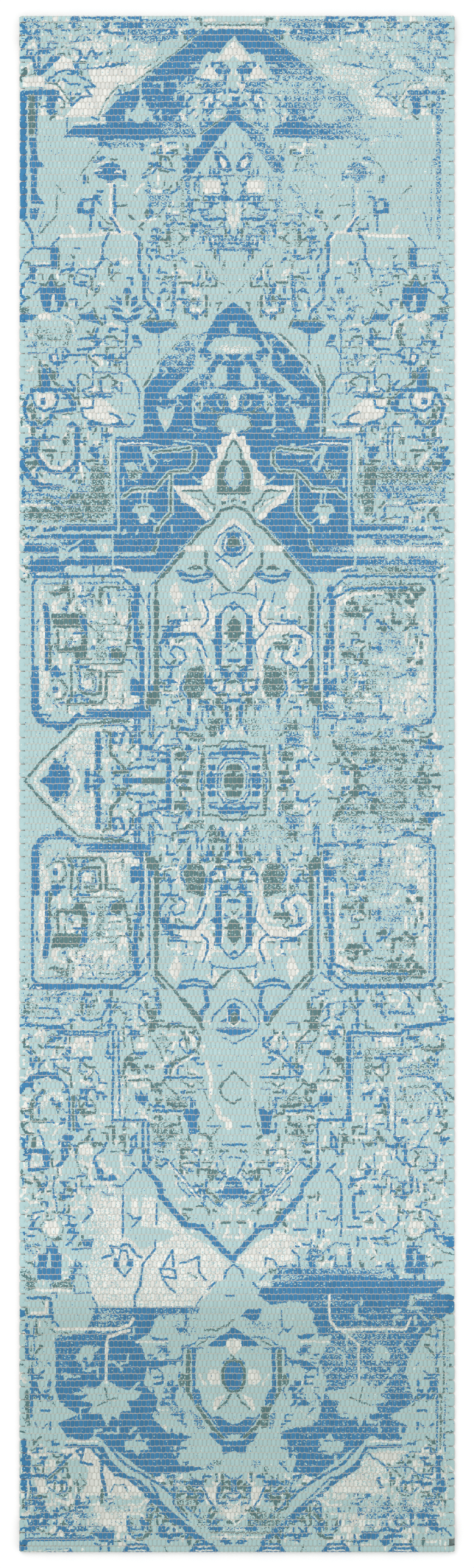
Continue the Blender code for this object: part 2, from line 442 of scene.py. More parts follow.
def draw_far_corners(p, left, right):
    """Leaves, a curled flower and dashes in the two far corners."""
    p.line(BLUE, 0.5, 1, (24.2, 0.35), (18.5, 0.35))
    p.line(BLUE, 0.5, 1, (17, 0.35), (15.2, 0.35))
    p.line(BLUE, 0.8, 0.7, (17.8, 1.4), (16, 1.2))
    p.fill(BLUE, 0.55, (15, 0.6), (7.5, 0.4), (7.6, 1.7), (14, 2))
    p.fill(BLUE, 0.58, (17, 1.9), (13, 2.3), (9, 3), (9.4, 3.7), (14, 4.5), (16.5, 3.8))
    p.fill(BLUE, 0.6, (34, 0.4), (30.5, 0.2), (31.4, 1.8), (33.6, 2.4))
    p.line(BLUE, 0.5, 1, (34.2, 1.4), (32.6, 3.2), (33.9, 5.2))
    p.line(BLUE, 0.5, 1, (34.2, 6.6), (32.2, 6.6), (31.8, 8.6))
    p.line(BLUE, 0.6, 0.8, (31.2, 3), (31.2, 10))
    p.line(TEAL, 0.3, 0.7, (28.6, 5), (26.6, 5), (26.4, 6.4))
    p.line(TEAL, 0.25, 0.6, (29.4, 1.2), (28.4, 3), (27, 4))
    p.line(TEAL, 0.25, 0.6, (23.4, 1), (22.8, 2.6), (22, 3.6))
    p.block(WHITE, 0.8, (33.8, 9.6), (30.4, 11.2))
    p.fill(BLUE, 1, (31.6, 9.4), (29.3, 6.5), (27.6, 6.7), (29, 7.9), (30.6, 9.2))
    p.fill(WHITE, 0.9, (29, 7.6), (27.5, 6.4), (26, 7), (25.4, 8.6), (27.2, 8.5), (28.4, 9.4))
    p.line(BLUE, 0.35, 1, (26, 5.2), (24.8, 5.4), (24.6, 6.6), (25.2, 7.4), (25, 9.5), (23.5, 10.3),
           (22.4, 11.2), (24, 11.3), (22.9, 12.7), (24.6, 12.8), (26, 14.2))
    p.line(BLUE, 0.35, 1, (24.8, 5.6), (23.8, 6.8), (22.8, 5), (22.3, 6.8), (21.4, 5.8))
    p.line(BLUE, 0.3, 1, (24.3, 8.5), (20, 8), (17, 7.3))
    p.line(BLUE, 0.35, 1, (29.4, 9.8), (28, 8.9), (26.6, 8.5), (25.4, 8.9))
    p.fill(AQUA, 1, (27.4, 9.8), (25.2, 9.8), (24.4, 11.4), (26.4, 12.2))
    p.line(BLUE, 0.35, 1, (27.5, 10), (26.6, 10.7), (24.8, 10.9))
    p.line(WHITE, 0.8, 1, (29.8, 11.2), (28.6, 11.2), (26.6, 13.2))
    p.line(TEAL, 0.3, 0.85, (30, 10.6), (28.4, 10.8), (27.2, 12.2), (26.2, 13.6))
    p.line(BLUE, 0.3, 1, (26.2, 12), (26.2, 14.2))
    p.line(BLUE, 0.7, 1, (33.6, 12.1), (28.3, 12.1))
    p.line(BLUE, 1.3, 1, (29.3, 12.4), (29.3, 15))
    p.wear(0.45, -27, 7, 9, 6)
    p.wear(0.3, 28, 2.5, 7, 2.5)


def draw_side_frames(p, left, right):
    """The paired vertical lines near both selvedges at the far end."""
    left.block(BLUE, 1, (34.2, 12), (33.2, 32))
    left.block(TEAL, 0.8, (32.9, 12.4), (31.6, 19))
    left.line(BLUE, 0.4, 1, (31.6, 12.4), (31.6, 19))
    left.fill(BLUE, 1, (32.7, 19.3), (31.5, 19.3), (31.5, 22.2), (30.3, 23.9), (31.5, 24), (31.5, 28),
              (30.3, 29.8), (32.5, 29.6), (32.5, 28))
    left.fill(BLUE, 0.9, (32.7, 30.3), (31, 30.3), (31.6, 32.2), (32.7, 32.2))
    left.line(BLUE, 0.4, 1, (33.6, 32), (32.4, 34.4), (32.2, 36))
    right.line(BLUE, 0.9, 0.55, (32.8, 12), (32.8, 35))
    right.line(BLUE, 0.3, 0.5, (31.6, 23), (31.6, 35))
    right.fill(BLUE, 0.5, (32.8, 21.8), (31.1, 23.6), (32.8, 24.2))
    p.line(BLUE, 0.35, 0.6, (30.4, 31), (31.4, 34.6))


def draw_far_pendant(p, left, right):
    """The blue wedge and leaves that hang from the far roof."""
    p.fill(BLUE, 1, (0.5, 14.9), (1.4, 14.9), (2.2, 16.5), (5.5, 18.8), (5.6, 20.2), (6.9, 21), (7, 22.4),
           (7.9, 22.8), (8, 24), (8.6, 24.4), (8.4, 24.9), (6.8, 24.7), (4.6, 21.6), (2.4, 18.6),
           (0.5, 16.8))
    p.line(TEAL, 0.3, 0.8, (1.6, 15.8), (5.8, 18.7))
    p.line(BLUE, 0.3, 1, (3.6, 20.9), (1.9, 20.9), (1.8, 19.8))
    p.fill(BLUE, 1, (3.7, 21.5), (2.5, 21.4), (1.2, 22.8), (0.7, 24.3), (1.5, 24.8), (2.9, 24.2),
           (3.5, 22.8))
    p.fill(WHITE, 1, (2.7, 22.2), (1.9, 22.8), (1.6, 23.7), (2.2, 24.1), (2.8, 23.2))
    p.line(BLUE, 0.3, 0.8, (7.6, 25.5), (0.5, 25.2))
    left.line(TEAL, 0.3, 0.7, (0.5, 24.9), (-0.8, 26))
    p.block(WHITE, 0.95, (5.2, 25.9), (2.6, 28))
    p.line(BLUE, 0.3, 0.8, (6, 25.8), (6, 28.4), (2.6, 28.6), (2, 27), (2.6, 25.8))
    p.line(BLUE, 0.7, 0.62, (7.6, 24.8), (7.6, 32))
    p.line(TEAL, 0.7, 0.42, (8.6, 26), (8.6, 32))
    p.line(BLUE, 0.3, 0.7, (3, 28.6), (1, 31), (0.5, 31.6))
    p.fill(WHITE, 0.6, (1.6, 29.6), (0.8, 29.4), (0.7, 32.4), (1.5, 32.6))
    p.line(BLUE, 0.3, 0.55, (5.6, 29), (4.4, 31.2), (3, 31.6))
    p.wear(0.4, -4, 20, 3.5, 6)
    p.wear(0.3, -7, 28, 3, 4)


def draw_small_flowers(p, left, right):
    """Stemmed flowers, squares and hooks between the far pendant and the frames."""
    p.fill(BLUE, 1, (22.6, 24.8), (21.6, 23.8), (19.8, 23), (18.5, 23.6), (18.2, 24.9), (17.9, 25.6),
           (19.4, 25.9), (20, 26.8), (20.6, 26), (21.8, 25.5))
    p.line(WHITE, 0.3, 1, (22, 23.3), (20.2, 23.1))
    p.line(WHITE, 0.3, 1, (22.6, 24.4), (21.4, 24.4))
    p.line(WHITE, 0.35, 1, (19.2, 24.6), (18.2, 24.6))
    p.line(WHITE, 0.35, 1, (20.6, 26.6), (19.2, 26.6))
    p.line(WHITE, 0.5, 1, (19.9, 26.8), (19.9, 32.4))
    p.line(BLUE, 0.45, 1, (19.3, 26.8), (19.3, 32.6))
    p.line(TEAL, 0.4, 0.9, (12.4, 20.8), (12.6, 22), (10.8, 22.4), (10.1, 24.5))
    p.line(WHITE, 0.5, 1, (13.4, 20.4), (11.6, 20.2), (11.4, 21.8))
    p.line(BLUE, 0.35, 1, (9.8, 24.5), (12.4, 23.7), (13.4, 25), (14.9, 25.6))
    p.line(BLUE, 0.3, 0.6, (14.2, 25.4), (13.6, 27.4), (14, 30))
    p.line(BLUE, 0.4, 0.5, (14.4, 27.6), (12.4, 27.2), (10.6, 28), (10.4, 29.8), (13, 30), closed=True)
    p.block(WHITE, 0.8, (13.6, 27.4), (11.8, 28))
    p.line(TEAL, 0.3, 0.75, (21.6, 21), (24.8, 25.4))
    p.fill(BLUE, 1, (24.7, 28.8), (22.4, 28.8), (22.4, 31.8), (24.7, 31))
    p.block(AQUA, 1, (24.1, 29.4), (23, 30.6))
    left.fill(BLUE, 1, (25.3, 30.4), (24.7, 30.2), (24.7, 31))
    p.line(BLUE, 0.4, 0.9, (23.1, 31.6), (23.1, 33.8))
    left.line(TEAL, 0.35, 0.8, (28.4, 28.4), (28.4, 31.4), (31, 34.4))
    p.line(TEAL, 0.35, 0.7, (28.4, 26.8), (27.2, 28.2))
    p.wear(0.45, -19.4, 27, 3.6, 6)
    p.wear(0.6, -12, 26, 3, 5)


def draw_far_lobes(p, left, right):
    """The white and blue lobed line that spans each side, with squares on it."""
    p.line(WHITE, 0.55, 1, (28, 34.8), (24, 34.7), (20, 34.4), (16.8, 34.2))
    p.line(WHITE, 0.5, 1, (20, 31.2), (17.8, 34.2))
    p.line(BLUE, 0.4, 1, (20, 31.8), (18.4, 34.1))
    p.line(BLUE, 0.35, 1, (28, 35), (29, 36), (29, 36.4))
    p.fill(BLUE, 0.95, (29.4, 36.2), (28.1, 36.6), (28.1, 40), (29.4, 40))
    p.line(TEAL, 0.35, 0.9, (28.1, 36.4), (28.1, 40))
    p.line(BLUE, 0.5, 1, (29.4, 36.7), (32.2, 36.6))
    p.line(BLUE, 0.5, 1, (29.4, 39.5), (32.6, 39.5))
    p.line(WHITE, 0.35, 1, (29.8, 39.1), (31.6, 39.1))
    p.line(BLUE, 0.45, 1, (32.4, 39.6), (32.6, 41.2), (33.8, 42.4), (34.2, 44))
    p.line(BLUE, 0.4, 0.8, (32.3, 36.6), (33.6, 38.2), (34.2, 40))
    p.line(BLUE, 0.45, 1, (20.2, 34.4), (21.2, 36.2), (21.2, 38.6), (22.2, 39.8), (22.3, 41.2))
    p.line(BLUE, 0.35, 0.9, (22.2, 39.9), (24.8, 40))
    p.line(WHITE, 0.55, 1, (16.4, 34.3), (15.7, 35.4))
    p.line(BLUE, 0.55, 1, (16, 34.4), (15.4, 35.2), (15.4, 40.2), (14.6, 41), (14.6, 44.8), (12.6, 46.8),
           (12.4, 48))
    p.line(WHITE, 0.2, 1, (15.75, 35.4), (15.75, 40))
    p.line(BLUE, 0.4, 0.9, (25.6, 41.4), (25.6, 42.4), (23, 42.8), (23, 41.2), (25.4, 40.6))
    p.line(TEAL, 0.6, 0.7, (22.9, 41.2), (22.9, 43.2))
    p.line(BLUE, 0.5, 0.9, (24.6, 42), (23.8, 42))
    # the broken pendant at the middle
    p.line(BLUE, 0.7, 0.7, (4.6, 34.6), (2.6, 34.7), (2.6, 36.8), (0.5, 36.8))
    p.block(BLUE, 0.6, (3, 35), (0.5, 36.2))
    p.line(BLUE, 0.5, 0.6, (6.4, 33.4), (4, 33.8), (2.4, 33.2))
    p.line(BLUE, 0.6, 0.4, (5.8, 33.2), (6, 36), (7.6, 37.2))
    p.line(TEAL, 0.7, 0.38, (8, 31.4), (7.6, 33.6), (10.2, 33.4), (10.2, 36), (7.4, 37.2))
    p.line(BLUE, 0.45, 0.7, (12.6, 34), (12.6, 37.8), (10.8, 38.6), (9, 37.2))
    p.line(TEAL, 0.4, 0.5, (12.4, 34.6), (11.4, 32.6), (10, 32.2))
    p.line(WHITE, 0.3, 0.8, (15.6, 32.4), (12.6, 32))
    p.line(BLUE, 0.35, 0.6, (6.4, 38.2), (4.6, 40), (3.4, 41.6))
    p.line(TEAL, 0.35, 0.5, (4.6, 39.6), (2, 42.6), (0.8, 44))
    p.line(TEAL, 0.4, 0.6, (2, 38.6), (2.2, 40))
    p.dust(WHITE, 0.7, 0.6, 32.6, 0.8, 1.2)
    p.wear(0.4, -31, 38, 3, 3)
    p.wear(0.3, -22, 41.5, 3, 2)


def draw_palmettes(p, left, right):
    """Crowned palmettes, lotus flowers and boat leaves beside the dome."""
    p.fill(BLUE, 1, (31.1, 42), (30.4, 42.6), (29.3, 40.6), (28.6, 42.6), (27.1, 42.2), (27, 45),
           (28, 46.8), (30.2, 46.8), (31, 45))
    p.line(TEAL, 0.4, 0.9, (31, 42.2), (30.2, 42.8), (29.2, 40.8), (28.4, 42.8), (27.2, 42.4))
    p.line(WHITE, 0.5, 1, (29, 44.2), (29, 45.6))
    p.fill(AQUA, 1, (29.2, 45), (28.3, 45.2), (28.3, 46.6), (29.4, 46.4))
    p.fill(WHITE, 0.9, (31.6, 47.4), (30, 46.6), (28.6, 47.6), (29.6, 48.2), (31, 48))
    p.fill(BLUE, 1, (25.2, 47), (22.6, 46.8), (22, 47.7), (21.2, 49), (22.8, 48.3), (24.4, 48.2))
    p.line(TEAL, 0.4, 0.8, (25, 46.5), (23.2, 45.2))
    p.line(TEAL, 0.4, 0.9, (22.6, 46), (22.2, 47.4), (21.2, 48.8))
    p.fill(BLUE, 0.9, (34.3, 46.6), (32.6, 46.9), (31.8, 48.2), (34.3, 48.4))
    p.fill(TEAL, 0.7, (34.3, 45.6), (32.8, 46), (32.6, 47), (34.3, 46.8))
    p.line(TEAL, 0.8, 0.55, (31, 48.4), (31.4, 50.2), (30.6, 51.8))
    p.line(TEAL, 0.8, 0.7, (26.9, 48.6), (26.4, 50), (27, 51.6))
    p.line(WHITE, 0.4, 1, (27.6, 47.6), (26, 48.6), (25.6, 50.6))
    p.line(BLUE, 0.3, 0.8, (27.4, 47.2), (25.6, 48.4), (25.2, 50.4))
    p.line(BLUE, 0.5, 1, (25, 51.1), (22.4, 50.9), (22, 49.4))
    p.line(TEAL, 0.4, 0.9, (23, 50.4), (22.4, 49.2))
    p.line(BLUE, 0.4, 0.9, (30.4, 51.4), (32.4, 51.2), (31.6, 52.6))
    p.line(BLUE, 0.3, 0.75, (29.8, 52.4), (26.6, 52.3))
    p.line(BLUE, 0.35, 0.9, (32.9, 53.3), (30, 53.2))
    p.line(BLUE, 0.4, 1, (26.3, 53.5), (23.8, 53.4))
    p.line(BLUE, 0.45, 1, (25, 52.7), (22.6, 52.4), (21.3, 51.1))
    p.line(BLUE, 0.3, 1, (29.5, 53.4), (28.4, 53.2), (28.2, 54.4), (28.8, 55), (29.4, 54.4), closed=True)
    p.fill(WHITE, 1, (29.3, 53.6), (28.5, 53.5), (28.4, 54.3), (28.9, 54.7))
    # the lotus and its stem
    p.fill(BLUE, 1, (18, 43.8), (17.8, 42.9), (17, 42.8), (16.5, 43.8), (17.2, 44.2))
    p.fill(BLUE, 1, (19.2, 44), (18.2, 44.6), (18, 46), (19, 45.4))
    p.fill(BLUE, 1, (15.7, 44), (16.6, 44.6), (16.7, 46), (15.8, 45.4))
    p.fill(BLUE, 1, (20.7, 45.6), (18.8, 45.8), (17.9, 46.8), (19.2, 46.7))
    p.fill(BLUE, 1, (14.2, 45.6), (16, 45.8), (16.8, 46.8), (15.6, 46.7))
    p.fill(BLUE, 1, (19.9, 46.9), (18.4, 47.2), (17.4, 47.8), (16.4, 47.2), (14.8, 46.9), (15.6, 48),
           (17.4, 48.5), (19.2, 48))
    p.line(TEAL, 0.5, 0.9, (17.3, 44.2), (17.3, 45.6))
    p.line(WHITE, 0.25, 1, (18, 47.3), (17.4, 46.4), (16.8, 47.3))
    p.line(BLUE, 0.3, 1, (17.4, 48.4), (17.4, 56.4))
    p.fill(BLUE, 1, (15.2, 48.9), (14, 48.2), (9.9, 48.2), (9.1, 49.3), (10.6, 49.4), (12.2, 50.4),
           (13.8, 49.9))
    p.line(TEAL, 0.4, 0.9, (15.2, 48.6), (14, 48), (12.6, 48.2), (9.8, 48), (9.2, 49.2))
    p.line(BLUE, 0.3, 1, (12.3, 50.4), (12.3, 53.4))
    p.fill(BLUE, 1, (16.6, 50.2), (15.6, 50.3), (14.9, 52), (16.4, 51.4))
    p.line(BLUE, 0.3, 1, (15, 52.2), (16.4, 52.2), (17.2, 53.4))
    p.fill(BLUE, 0.85, (21.4, 53.6), (19.2, 53.6), (19.3, 54.6), (21, 54.5))
    p.line(BLUE, 0.4, 1, (18.6, 54), (17.5, 54))
    p.line(BLUE, 0.5, 0.6, (12, 42.4), (10.2, 41.6), (10, 43.6), (11.8, 43.2))
    p.line(BLUE, 0.5, 0.7, (9.6, 40.6), (9.8, 44.2), (10.4, 45.8), (9.8, 46.4), (9.8, 43))
    p.line(BLUE, 0.4, 0.6, (5.2, 42.8), (5.8, 45.6), (8, 45.2), (6.6, 43.6))
    p.dust(WHITE, 0.75, 6.6, 43.8, 1.1, 0.9)
    p.wear(0.45, -16.6, 46, 4, 4)
    p.wear(0.5, 29, 50, 4, 2.6)
    p.wear(0.4, -20, 54, 4, 1.4)
    p.dust(TEAL, 0.35, 29.4, 50.4, 3, 1.6)


def draw_bottles(p, left, right):
    """The ringed bottles and scrolls at the dome's shoulders."""
    p.fill(BLUE, 1, (31.3, 55.8), (30.2, 56), (29.4, 57.6), (29.3, 58.8), (31.4, 58.8), (31, 57))
    p.line(TEAL, 0.5, 0.85, (31.2, 56), (31, 58.4), (32.4, 58.9))
    p.line(TEAL, 0.5, 0.85, (29.6, 56.6), (28.6, 58), (26.8, 59.2))
    p.line(BLUE, 0.5, 1, (32.4, 59), (26.8, 59))
    p.line(BLUE, 0.35, 1, (28.3, 55), (28.3, 57))
    p.line(BLUE, 0.4, 1, (32.4, 59.4), (31.8, 61.6), (30.4, 62.4), (28.6, 61.8), (28.2, 60.2), (28.8, 59.2))
    p.fill(WHITE, 1, (31.8, 59.6), (29, 59.6), (28.6, 61), (30, 62), (31.4, 61.4))
    p.fill(BLUE, 1, (31.1, 60.3), (30.2, 60.2), (30.1, 61.4), (31, 61.4))
    p.line(BLUE, 0.7, 0.85, (32.8, 59.8), (33.6, 61.6), (33, 64), (31.2, 64.9), (29.8, 64.4), (29, 62.6),
           (26, 62.2), (26.2, 60.4), (27.4, 59.3))
    p.line(TEAL, 0.5, 0.7, (32.6, 62.2), (31, 64.4), (29.8, 63.4))
    p.fill(BLUE, 1, (27.2, 64.9), (26, 63.9), (24.8, 64.9))
    p.line(BLUE, 0.35, 1, (22.8, 55.2), (22.6, 56.3), (17.6, 56.4), (16.4, 57.4), (15.3, 59.4))
    p.line(BLUE, 0.35, 0.9, (22.7, 56.3), (22.8, 58.5), (24.4, 59.2), (23.8, 60), (19.6, 60.1))
    p.line(TEAL, 0.4, 0.85, (21.6, 58.9), (21.9, 57.3), (20.2, 56.8), (18.8, 57.8), (19.8, 58.4))
    p.line(BLUE, 0.4, 0.9, (21.5, 57.4), (21.4, 59.6))
    p.line(BLUE, 0.3, 1, (15.4, 59.4), (15.4, 62))
    p.fill(WHITE, 0.8, (24.8, 60.4), (21, 60.4), (19, 62.2), (17.4, 63.8), (20.4, 64.4), (24.2, 63.2))
    p.line(BLUE, 0.35, 1, (22.6, 60.4), (22.8, 61.8), (24.6, 62), (24.2, 63.4), (21.4, 64.6), (18.2, 64.8),
           (17, 64.9), (16.2, 64))
    p.line(BLUE, 0.4, 0.9, (20.2, 62.6), (18.6, 63.2), (18.2, 64.6))
    p.line(BLUE, 0.35, 0.8, (17.2, 62.6), (16, 63.2))
    right.line(WHITE, 0.4, 1, (19.4, 65.4), (15.4, 65.4))
    # the hanging rings below
    p.line(BLUE, 0.5, 1, (29.4, 66.9), (32.3, 67))
    left.line(BLUE, 1.1, 1, (31.9, 67), (31.9, 68.8), (30.6, 70.6), (29.2, 71.6))
    right.line(BLUE, 0.6, 0.6, (31.9, 67), (32, 69), (30.6, 71), (29.2, 72.2))
    p.line(BLUE, 0.5, 0.95, (30.4, 71.5), (28.4, 72.2), (26.6, 71.8), (25.4, 70.2))
    p.line(WHITE, 0.6, 0.9, (30.9, 69.2), (29.6, 71.1), (27.6, 71.5), (26.4, 70.4))
    left.line(BLUE, 0.9, 1, (25.2, 65), (25.2, 71))
    right.line(BLUE, 0.3, 1, (25.5, 65), (25.5, 71.2))
    right.line(BLUE, 0.3, 1, (24.8, 65), (24.8, 70))
    p.line(TEAL, 0.5, 0.6, (26.6, 65.6), (26.6, 67.6))
    p.line(BLUE, 0.9, 0.95, (34.2, 70.4), (32.8, 72.6), (31.2, 74.2), (28.4, 74.4), (27.2, 73.2))
    p.line(BLUE, 0.5, 1, (27.6, 74.4), (26, 72.8), (24.6, 70.8))
    p.line(WHITE, 0.4, 1, (24.8, 70.6), (24.2, 73.6))
    p.line(BLUE, 0.4, 0.9, (24.4, 70.4), (23, 72), (21.8, 74))
    p.fill(BLUE, 0.85, (23.6, 67.6), (21.8, 68.2), (21.6, 69.6), (22.6, 69.8))
    p.line(BLUE, 0.3, 0.9, (21.2, 65), (21.2, 68.2))
    p.line(BLUE, 0.5, 1, (34.2, 68.2), (33.4, 69), (33.6, 70.2))
    p.dust(TEAL, 0.62, 24.4, 77.2, 5.4, 3.4)
    p.dust(TEAL, 0.5, 31, 78.4, 4, 1.6)
    p.fill(TEAL, 0.62, (23.2, 71), (20.9, 71), (20.9, 79), (22.4, 79), (22.8, 74))
    p.fill(BLUE, 0.5, (34.2, 76), (30.6, 76.2), (28.4, 78.2), (30, 77.8), (34.2, 77))
    p.line(WHITE, 0.45, 0.9, (34, 77.2), (29.6, 77.2))
    p.line(BLUE, 0.5, 0.6, (33.6, 75.6), (29.6, 75.6), (27.4, 77.4), (24.6, 77.2))
    p.line(BLUE, 0.4, 0.7, (29.6, 75.8), (26.6, 76.2), (26, 75), (23.4, 75.2))
    p.line(AQUA, 1.0, 1, (30, 72.8), (27, 73.6), (25.6, 74.6))
    p.dust(TEAL, 0.6, -26, 73.4, 7, 2.6)
    p.dust(BLUE, 0.5, -25, 74.8, 4, 1.4)
    p.line(AQUA, 0.35, 1, (34, 80.2), (20, 80.2))


def draw_dome(p, left, right):
    """The blue dome of the main medallion, down to its shoulders and skirt."""
    p.fill(BLUE, 1, (0.5, 45.2), (1.6, 46), (3.2, 47.3), (4.6, 49.8), (7.4, 50.1), (10, 52.6), (12.2, 54.6),
           (12.4, 56.4), (14.6, 58.9), (14.8, 66.4), (19.2, 66.4), (19.2, 81.2), (13.2, 88), (0.5, 88))
    p.line(TEAL, 0.4, 0.9, (7.6, 50.1), (10, 52.3), (12.4, 54.7), (14.7, 58.6))
    right.line(AQUA, 0.35, 1, (7.1, 50.3), (11.7, 55), (11.7, 56), (14.2, 58.8), (14.2, 66.2))
    right.line(WHITE, 0.2, 1, (7.3, 50.2), (12, 54.8), (14.4, 58.6))
    right.line(TEAL, 0.5, 0.8, (13.8, 55.2), (14.8, 58.2), (14.8, 66))
    left.block(AQUA, 1, (1.2, 48.5), (0, 50.1))
    p.fill(AQUA, 1, (0.5, 50.6), (3.4, 50.8), (5, 52.6), (2.2, 53.4), (0.5, 53.2))
    p.dust(WHITE, 0.55, 0.5, 52.6, 3, 0.8)
    p.line(AQUA, 0.5, 1, (5, 50.6), (6.4, 53), (5.8, 55), (10.6, 59.4))
    p.line(AQUA, 0.8, 1, (4.6, 54.9), (8, 57.8), (10.6, 60))
    p.line(TEAL, 0.2, 0.8, (5.2, 54.9), (8.4, 57.8))
    p.line(AQUA, 0.25, 1, (6.4, 51), (6.4, 57))
    p.block(BLUE, 1, (3.4, 53.6), (0.5, 55))
    p.fill(AQUA, 1, (1.6, 55.2), (3, 55), (4, 57.4), (3.4, 58.7), (1.6, 58))
    p.fill(BLUE, 1, (0.5, 58), (1.6, 58.4), (1.9, 59.4), (0.5, 59.2))
    p.fill(AQUA, 1, (0.5, 59), (1.6, 59.2), (1.2, 61.8), (0.5, 62.4))
    p.fill(WHITE, 1, (0.5, 59.8), (1, 60.6), (0.9, 62), (0.5, 62.2))
    p.line(AQUA, 0.5, 1, (1.8, 59.2), (5.6, 59.2), (5.6, 61.8), (6.4, 62.4))
    p.line(TEAL, 0.35, 0.9, (5.9, 59.4), (5.9, 62.4))
    p.line(TEAL, 0.3, 0.9, (1.9, 59.6), (2.1, 62.6), (5.2, 62.6))
    p.line(WHITE, 0.25, 1, (5.6, 60), (6.8, 61.4))
    p.line(TEAL, 0.35, 0.8, (4.8, 61.4), (3.4, 62.4))
    p.line(AQUA, 0.25, 1, (6.9, 59.4), (6.9, 64.4))
    left.fill(AQUA, 1, (3, 63.4), (-0.6, 63.2), (-1.2, 65), (0.5, 66), (3, 65.4))
    p.fill(AQUA, 1, (0.5, 62.8), (2.6, 63.2), (3.3, 64.6), (2, 65.4), (0.5, 65.4))
    p.line(TEAL, 0.3, 0.8, (2.7, 63.2), (3.3, 64.6), (2.2, 65.6))
    p.fill(AQUA, 1, (12.6, 61.6), (12.4, 63.2), (11.4, 65.8), (10.4, 64.4), (9.6, 61.4), (11, 62.2))
    p.fill(WHITE, 0.8, (12, 63.4), (11.3, 65), (10.8, 64))
    p.line(AQUA, 0.4, 1, (6.8, 63.6), (6.8, 64.8), (5, 65.1))
    p.wear(0.42, 9.4, 53.6, 3.6, 3.6)
    p.wear(0.5, 6.6, 50.6, 2.2, 1)
    p.wear(0.35, 5, 57.4, 2.4, 2.6)
    p.wear(0.3, -3, 56.6, 3, 2)
    p.wear(0.22, -9, 62, 4, 3)
    # the paired side lines
    p.line(AQUA, 0.45, 1, (18.7, 67.4), (18.7, 81.6))
    p.line(BLUE, 0.35, 1, (18.2, 67.2), (18.2, 81))
    p.line(WHITE, 0.3, 1, (18.4, 67.5), (13.8, 67.4))
    p.line(WHITE, 0.2, 1, (13.8, 67.4), (9, 68.4))
    right.line(WHITE, 0.2, 1, (12.8, 69.2), (8.2, 69.2))
    left.line(AQUA, 0.3, 1, (10, 67), (5, 67.6), (3.6, 69.6))
    p.line(TEAL, 0.5, 0.5, (20.1, 67), (20.1, 79.6))
    p.line(WHITE, 0.3, 1, (19.9, 67.2), (19.9, 72))
    p.scatter(AQUA, 34, (13, 50, 2, 62), cover=1.0, width=0.26)
    p.scatter(AQUA, 24, (18, 62, 5, 84), cover=1.0, width=0.24)


def draw_antlers(p, left, right):
    """The branching outlined lines and lamp flowers on the dome's skirt."""
    branches = (
        ((17.9, 76), (16.6, 74.8), (12.9, 74.6), (10.6, 72), (7.7, 71.8), (6.7, 70.6), (6.7, 68.8)),
        ((10.4, 72.2), (10.4, 78.4), (12.6, 80.9), (12.7, 83.7), (14.2, 84.4)),
        ((14.2, 70), (12.9, 68.8), (7.4, 68.2)),
    )
    for branch in branches:
        p.line(AQUA, 0.85, 1, *branch)
    for branch in branches:
        p.line(TEAL, 0.4, 0.9, *branch)
    p.line(WHITE, 0.3, 1, (12.7, 75), (16.6, 75.2))
    p.fill(AQUA, 1, (16.6, 78.1), (15.9, 77), (13.8, 77), (12.8, 78.2), (13.8, 78.5), (14, 80.1),
           (15.4, 80.1), (15.6, 78.6))
    p.fill(WHITE, 0.9, (15.2, 78.9), (14.2, 78.8), (14.2, 80), (15.2, 80))
    p.line(TEAL, 0.35, 0.8, (15.6, 77.5), (14, 77.4))
    p.line(AQUA, 0.3, 1, (14.9, 74.8), (14.9, 77))
    p.line(AQUA, 0.25, 1, (14.2, 74.8), (14.2, 77))
    p.fill(AQUA, 1, (15.4, 67.8), (14.4, 67.9), (12.4, 70.4), (13.4, 72.2), (14.2, 71.6), (14.8, 69.6))
    p.fill(BLUE, 1, (14.2, 69), (12.6, 70.6), (13.6, 71.4))
    left.fill(AQUA, 1, (18, 70.6), (16.2, 70.4), (15.4, 71.8), (17, 72.8))
    p.fill(TEAL, 0.62, (17.4, 71.6), (14.6, 71.6), (15.2, 73), (16.8, 73.2))
    p.fill(AQUA, 1, (15.6, 83.2), (13.4, 83), (12.6, 84.6), (15.2, 85))
    p.fill(TEAL, 0.9, (14.6, 83.4), (13, 83.3), (12.8, 84.8), (14.4, 84.8))
    left.fill(AQUA, 1, (17.8, 80.8), (16.6, 82.6), (15.4, 80.6), (15.6, 83), (16.4, 85.4), (18, 84.8),
              (18.6, 82.2))
    left.fill(WHITE, 0.9, (17.6, 82), (16.2, 83.2), (16.6, 84.8), (17.6, 84.4))
    right.fill(WHITE, 0.8, (16.8, 85), (15.4, 85.6), (16.8, 86.2))


